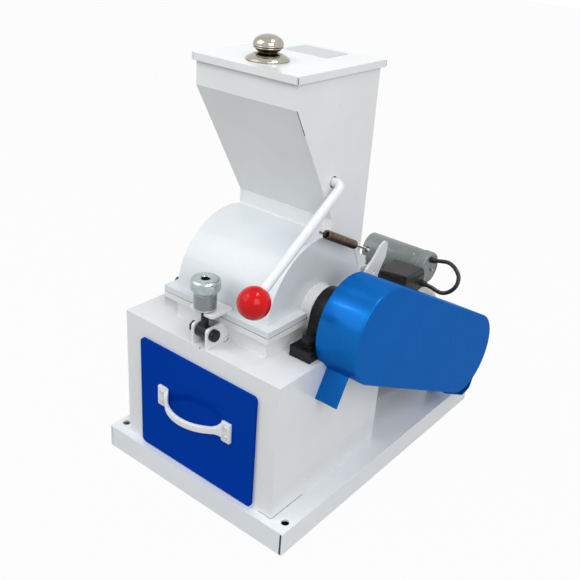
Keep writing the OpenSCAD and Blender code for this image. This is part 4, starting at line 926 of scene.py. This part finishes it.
def gasket_lip():
    """Gasket squeezed out between the flanges: a thin round carried round their edge."""
    low, high = ends("flange_gasket")
    edge = [(high[0], low[1]), (high[0], high[1]), (low[0], high[1]), (low[0], low[1])]
    middle = (low[2] + high[2]) / 2
    path = even(rounded([(x, y, middle) for x, y in edge], 3 * MM, closed=True), 2 * MM)
    lip = grid(carried(path[:-1], circle(0.95 * MM, 8), Z_AXIS, closed=True), closed=True)
    piece("gasket_lip", [lip], "gasket", "frame", smooth=60)


def motor_ribs():
    """Cooling ribs: a sleeve whose radius rises by 2 mm on 44 narrow crests, r = R + h*max(0, cos n*t)^3."""
    crests, sleeve = 44, 76.9 * MM
    x = np.array([-78, -77, -76, 66, 67, 68]) * MM
    height = np.array([0, 0.7, 1, 1, 0.7, 0])[:, None] * 2 * MM
    t = np.linspace(0, 2 * np.pi, crests * 14, endpoint=False)
    r = sleeve + height * np.maximum(0, np.cos(crests * t)) ** 3
    x = np.broadcast_to(x[:, None], r.shape)
    rings = np.stack([x, MOTOR[1] + r * np.cos(t), MOTOR[2] + r * np.sin(t)], -1)
    piece("motor_ribs", [capped(rings)], "motor_alloy", "frame", smooth=60)


# ---- screws and welds ----


def pan_head(centre, axis, radius, height):
    """A screw head: the dome h*sqrt(1 - 0.86*rho^2.4), lower by 0.55*h in a cross with short slopes."""
    axis, side, other = frame_of(axis)
    t = np.linspace(0, 2 * np.pi, 64, endpoint=False)[None, :]
    rho = np.linspace(0.02, 1, 26)[:, None]
    a, b = radius * rho * np.cos(t), radius * rho * np.sin(t)
    arm, width = 0.56 * radius, 0.13 * radius

    def step(value):
        return np.clip((value / (0.05 * radius) + 1) / 2, 0, 1)

    cross = np.maximum(step(arm - abs(a)) * step(width - abs(b)), step(arm - abs(b)) * step(width - abs(a)))
    level = height * np.sqrt(1 - 0.86 * rho**2.4) - 0.55 * height * cross
    top = np.asarray(centre) + a[..., None] * side + b[..., None] * other + level[..., None] * axis
    skirt = np.asarray(centre) + a[-1:, :, None] * side + b[-1:, :, None] * other - 0.2 * MM * axis
    return capped(np.vstack([top, skirt]))


def screws():
    """Cross-recessed heads on the feet of the drawer handle."""
    low, high = ends("handle_screws")
    radius = 3.6 * MM
    face = ends("drawer_handle")[1][1] - 4 * MM
    heads = [
        pan_head((x, face, z), -Y_AXIS, radius, 2.0 * MM)
        for x in (low[0] + radius, high[0] - radius)
        for z in (low[2] + radius, high[2] - radius)
    ]
    piece("handle_heads", heads, "zinc", "drawer", ["handle_screws"], smooth=50)


def weld(path, radius, lumps=()):
    """A weld bead: a round of r*(1 + 0.14*sin(2.9*s) + 0.08*sin(1.07*s) + lumps), s in millimetres.

    A lump (at, h, w) adds h*exp(-((s - at)/w)^2).
    """
    spacing = 0.55
    path = even(path, spacing * MM)
    run = np.arange(len(path)) * spacing
    swell = 1 + 0.14 * np.sin(run * 2.9) + 0.08 * np.sin(run * 1.07)
    swell = swell + sum(h * np.exp(-(((run - at) / w) ** 2)) for at, h, w in lumps)
    section = circle(radius, 8)[None] * swell[:, None, None]
    tangent = path[-1] - path[0]
    normal = X_AXIS if abs(tangent[0]) < 0.5 * np.linalg.norm(tangent) else Z_AXIS
    return capped(carried(path, section, normal))


def ring_path(centre, radius, start, end, x):
    """An arc in a plane square to X, angles in degrees from +Y."""
    t = np.radians(np.linspace(start, end, 160))
    return np.stack([np.full_like(t, x), centre[1] + radius * np.cos(t), centre[2] + radius * np.sin(t)], -1)


def welds():
    """Beads where sheets meet: drum to hopper, casing to cabinet, seal housings, clamp ears and lever lug."""
    side, drum, neck = 78 * MM, 97 * MM, 20 * MM
    throat = ROTOR[1] + neck
    back, top = ends("lower_box")[1][1:]
    front = ROTOR[1] - drum
    meet = ROTOR[2] + math.sqrt(drum**2 - (throat - ROTOR[1]) ** 2)
    start = math.degrees(math.acos((throat - ROTOR[1]) / drum))
    end = math.degrees(math.acos((back - ROTOR[1]) / drum))
    throat_lumps = ((54, 0.25, 9), (88, 0.9, 2.6), (94, 0.6, 3.4), (112, 0.5, 4))
    beads = [weld(np.array([(-side, throat, meet), (side, throat, meet)]), 1.7 * MM, throat_lumps)]
    fold = np.array([(2, -75, 350), (9, -75, 350.6), (21, -75, 349)]) * MM
    fold_lumps = ((4, 0.5, 2), (12, 0.7, 2))
    beads.append(weld(rounded(fold, 4 * MM), 0.8 * MM, fold_lumps))
    for x in (-side, side):
        beads.append(weld(ring_path(ROTOR, drum, start, end, x), 1.1 * MM))
        beads.append(weld(ring_path(ROTOR, 32 * MM, 0, 360, x), 1.6 * MM))
        beads.append(weld(np.array([(x, front + 2 * MM, top), (x, back - 2 * MM, top)]), 1.8 * MM))
    beads.append(weld(np.array([(-side, front, top), (side, front, top)]), 1.8 * MM))
    for x in (-14 * MM, -10 * MM, 10 * MM, 14 * MM):
        beads.append(weld(np.array([(x, front, top + MM), (x, front, top + 26 * MM)]), 1.0 * MM))
    piece("welds", beads, "white_paint", "frame", smooth=70)
    lug_start, lug_end, under = 54 * MM, 103 * MM, 4.2 * MM
    lug = [
        weld(np.stack([lever_point(lug_start, under, x), lever_point(lug_end, under, x)]), 1.3 * MM)
        for x in (LEVER_OUT - 2 * MM, LEVER_OUT + 2 * MM)
    ]
    piece("lug_welds", lug, "white_paint", "gate_lever", smooth=70)


lid_knob()
ball_knob()
clamp_bolt()
clamp_nut()
drawer_handle()
gate_spring()
belt_guard()
capacitor()
capacitor_cable()
terminal_cover()
seam_shades()
gasket_lip()
motor_ribs()
screws()
welds()

# ---- stage ----


def add_world():
    """Soft grey light from all round, plain white to the eye and to what reflects or lets light through."""
    world = bpy.data.worlds.new("studio")
    world.use_nodes = True
    bpy.context.scene.world = world
    sky = Tree(world.node_tree)
    camera, glossy, through = (
        sky.node("ShaderNodeLightPath", output=ray)
        for ray in ("Is Camera Ray", "Is Glossy Ray", "Is Transmission Ray")
    )
    plain = camera.math("MAXIMUM", camera.math("MAXIMUM", camera, glossy), through)
    light = sky.node("ShaderNodeBackground", None, {"Color": (0.97, 0.985, 1.0, 1), "Strength": 0.57})
    white = sky.node("ShaderNodeBackground", None, {"Color": (1, 1, 1, 1), "Strength": 1.0})
    sky.show(sky.node("ShaderNodeMixShader", None, [plain, light, white]), "World Output")


def add_floor():
    """A pale floor: near white to the eye, with a part of the object's shadow, and dark under the tray."""
    floor = Finish("floor", Roughness=0.9, Specular_IOR_Level=0.0)
    floor.shader.inputs["Base Color"].default_value = (0.34, 0.34, 0.34, 1)
    camera, glossy = (
        floor.node("ShaderNodeLightPath", output=ray) for ray in ("Is Camera Ray", "Is Glossy Ray")
    )
    inside = ends("base_tray")[1] - 6 * MM
    under = 1
    for axis, half in (("X", inside[0]), ("Y", inside[1])):
        under = (1 - abs(floor.axis(axis)).rise(half - MM, half)) * under
    share = (camera + glossy) * 0.97 * (1 - under)
    shaded = Value(floor, floor.shader.outputs[0])
    glow = floor.node("ShaderNodeEmission", None, {"Color": (1, 1, 1, 1), "Strength": 1.0})
    floor.show(floor.node("ShaderNodeMixShader", None, [share, shaded, glow]), "Material Output")
    mesh = bpy.data.meshes.new("floor")
    reach, level = 6.0, CAD_BOX[0][2]
    corners = [(x * reach, y * reach, level) for x, y in ((-1, -1), (1, -1), (1, 1), (-1, 1))]
    mesh.from_pydata(corners, [], [(0, 1, 2, 3)])
    mesh.materials.append(floor.material)
    made = bpy.data.objects.new("floor", mesh)
    bpy.context.collection.objects.link(made)


def softbox(name, place, aim, width, height, watts, colour=(1, 1, 1), glint=False):
    """A soft rectangular lamp that faces a point. A glint shows only in reflections."""
    data = bpy.data.lights.new(name, "AREA")
    data.shape = "RECTANGLE"
    data.size = width
    data.size_y = height
    data.energy = watts
    data.color = colour
    lamp = bpy.data.objects.new(name, data)
    bpy.context.collection.objects.link(lamp)
    lamp.location = place
    lamp.visible_diffuse = not glint
    lamp.rotation_euler = (Vector(aim) - Vector(place)).to_track_quat("-Z", "Y").to_euler()


add_world()
add_floor()

# What the lamps face: the middle of the mill, and its ball and clamp nut.
WHOLE = (0, 0, 0.2)
BALL = (0.09, -0.24, 0.3)
softbox("key_light", (1.54, -0.92, 1.48), WHOLE, 1.2, 1.2, 16.5)
softbox("window_light", (-0.95, -1.3, 1.6), WHOLE, 1.6, 1.6, 12.6, (0.93, 0.98, 1))
softbox("left_pane", (-0.57, -0.93, 1.58), BALL, 0.14, 0.2, 1)
softbox("top_pane", (0.44, 0.14, 1.82), BALL, 0.26, 0.2, 3.2, (0.9, 0.97, 1))
softbox("glint", (0.46, 0.1, 1.78), BALL, 0.5, 0.3, 6.5, glint=True)

view_settings = bpy.context.scene.view_settings
view_settings.view_transform = "Standard"
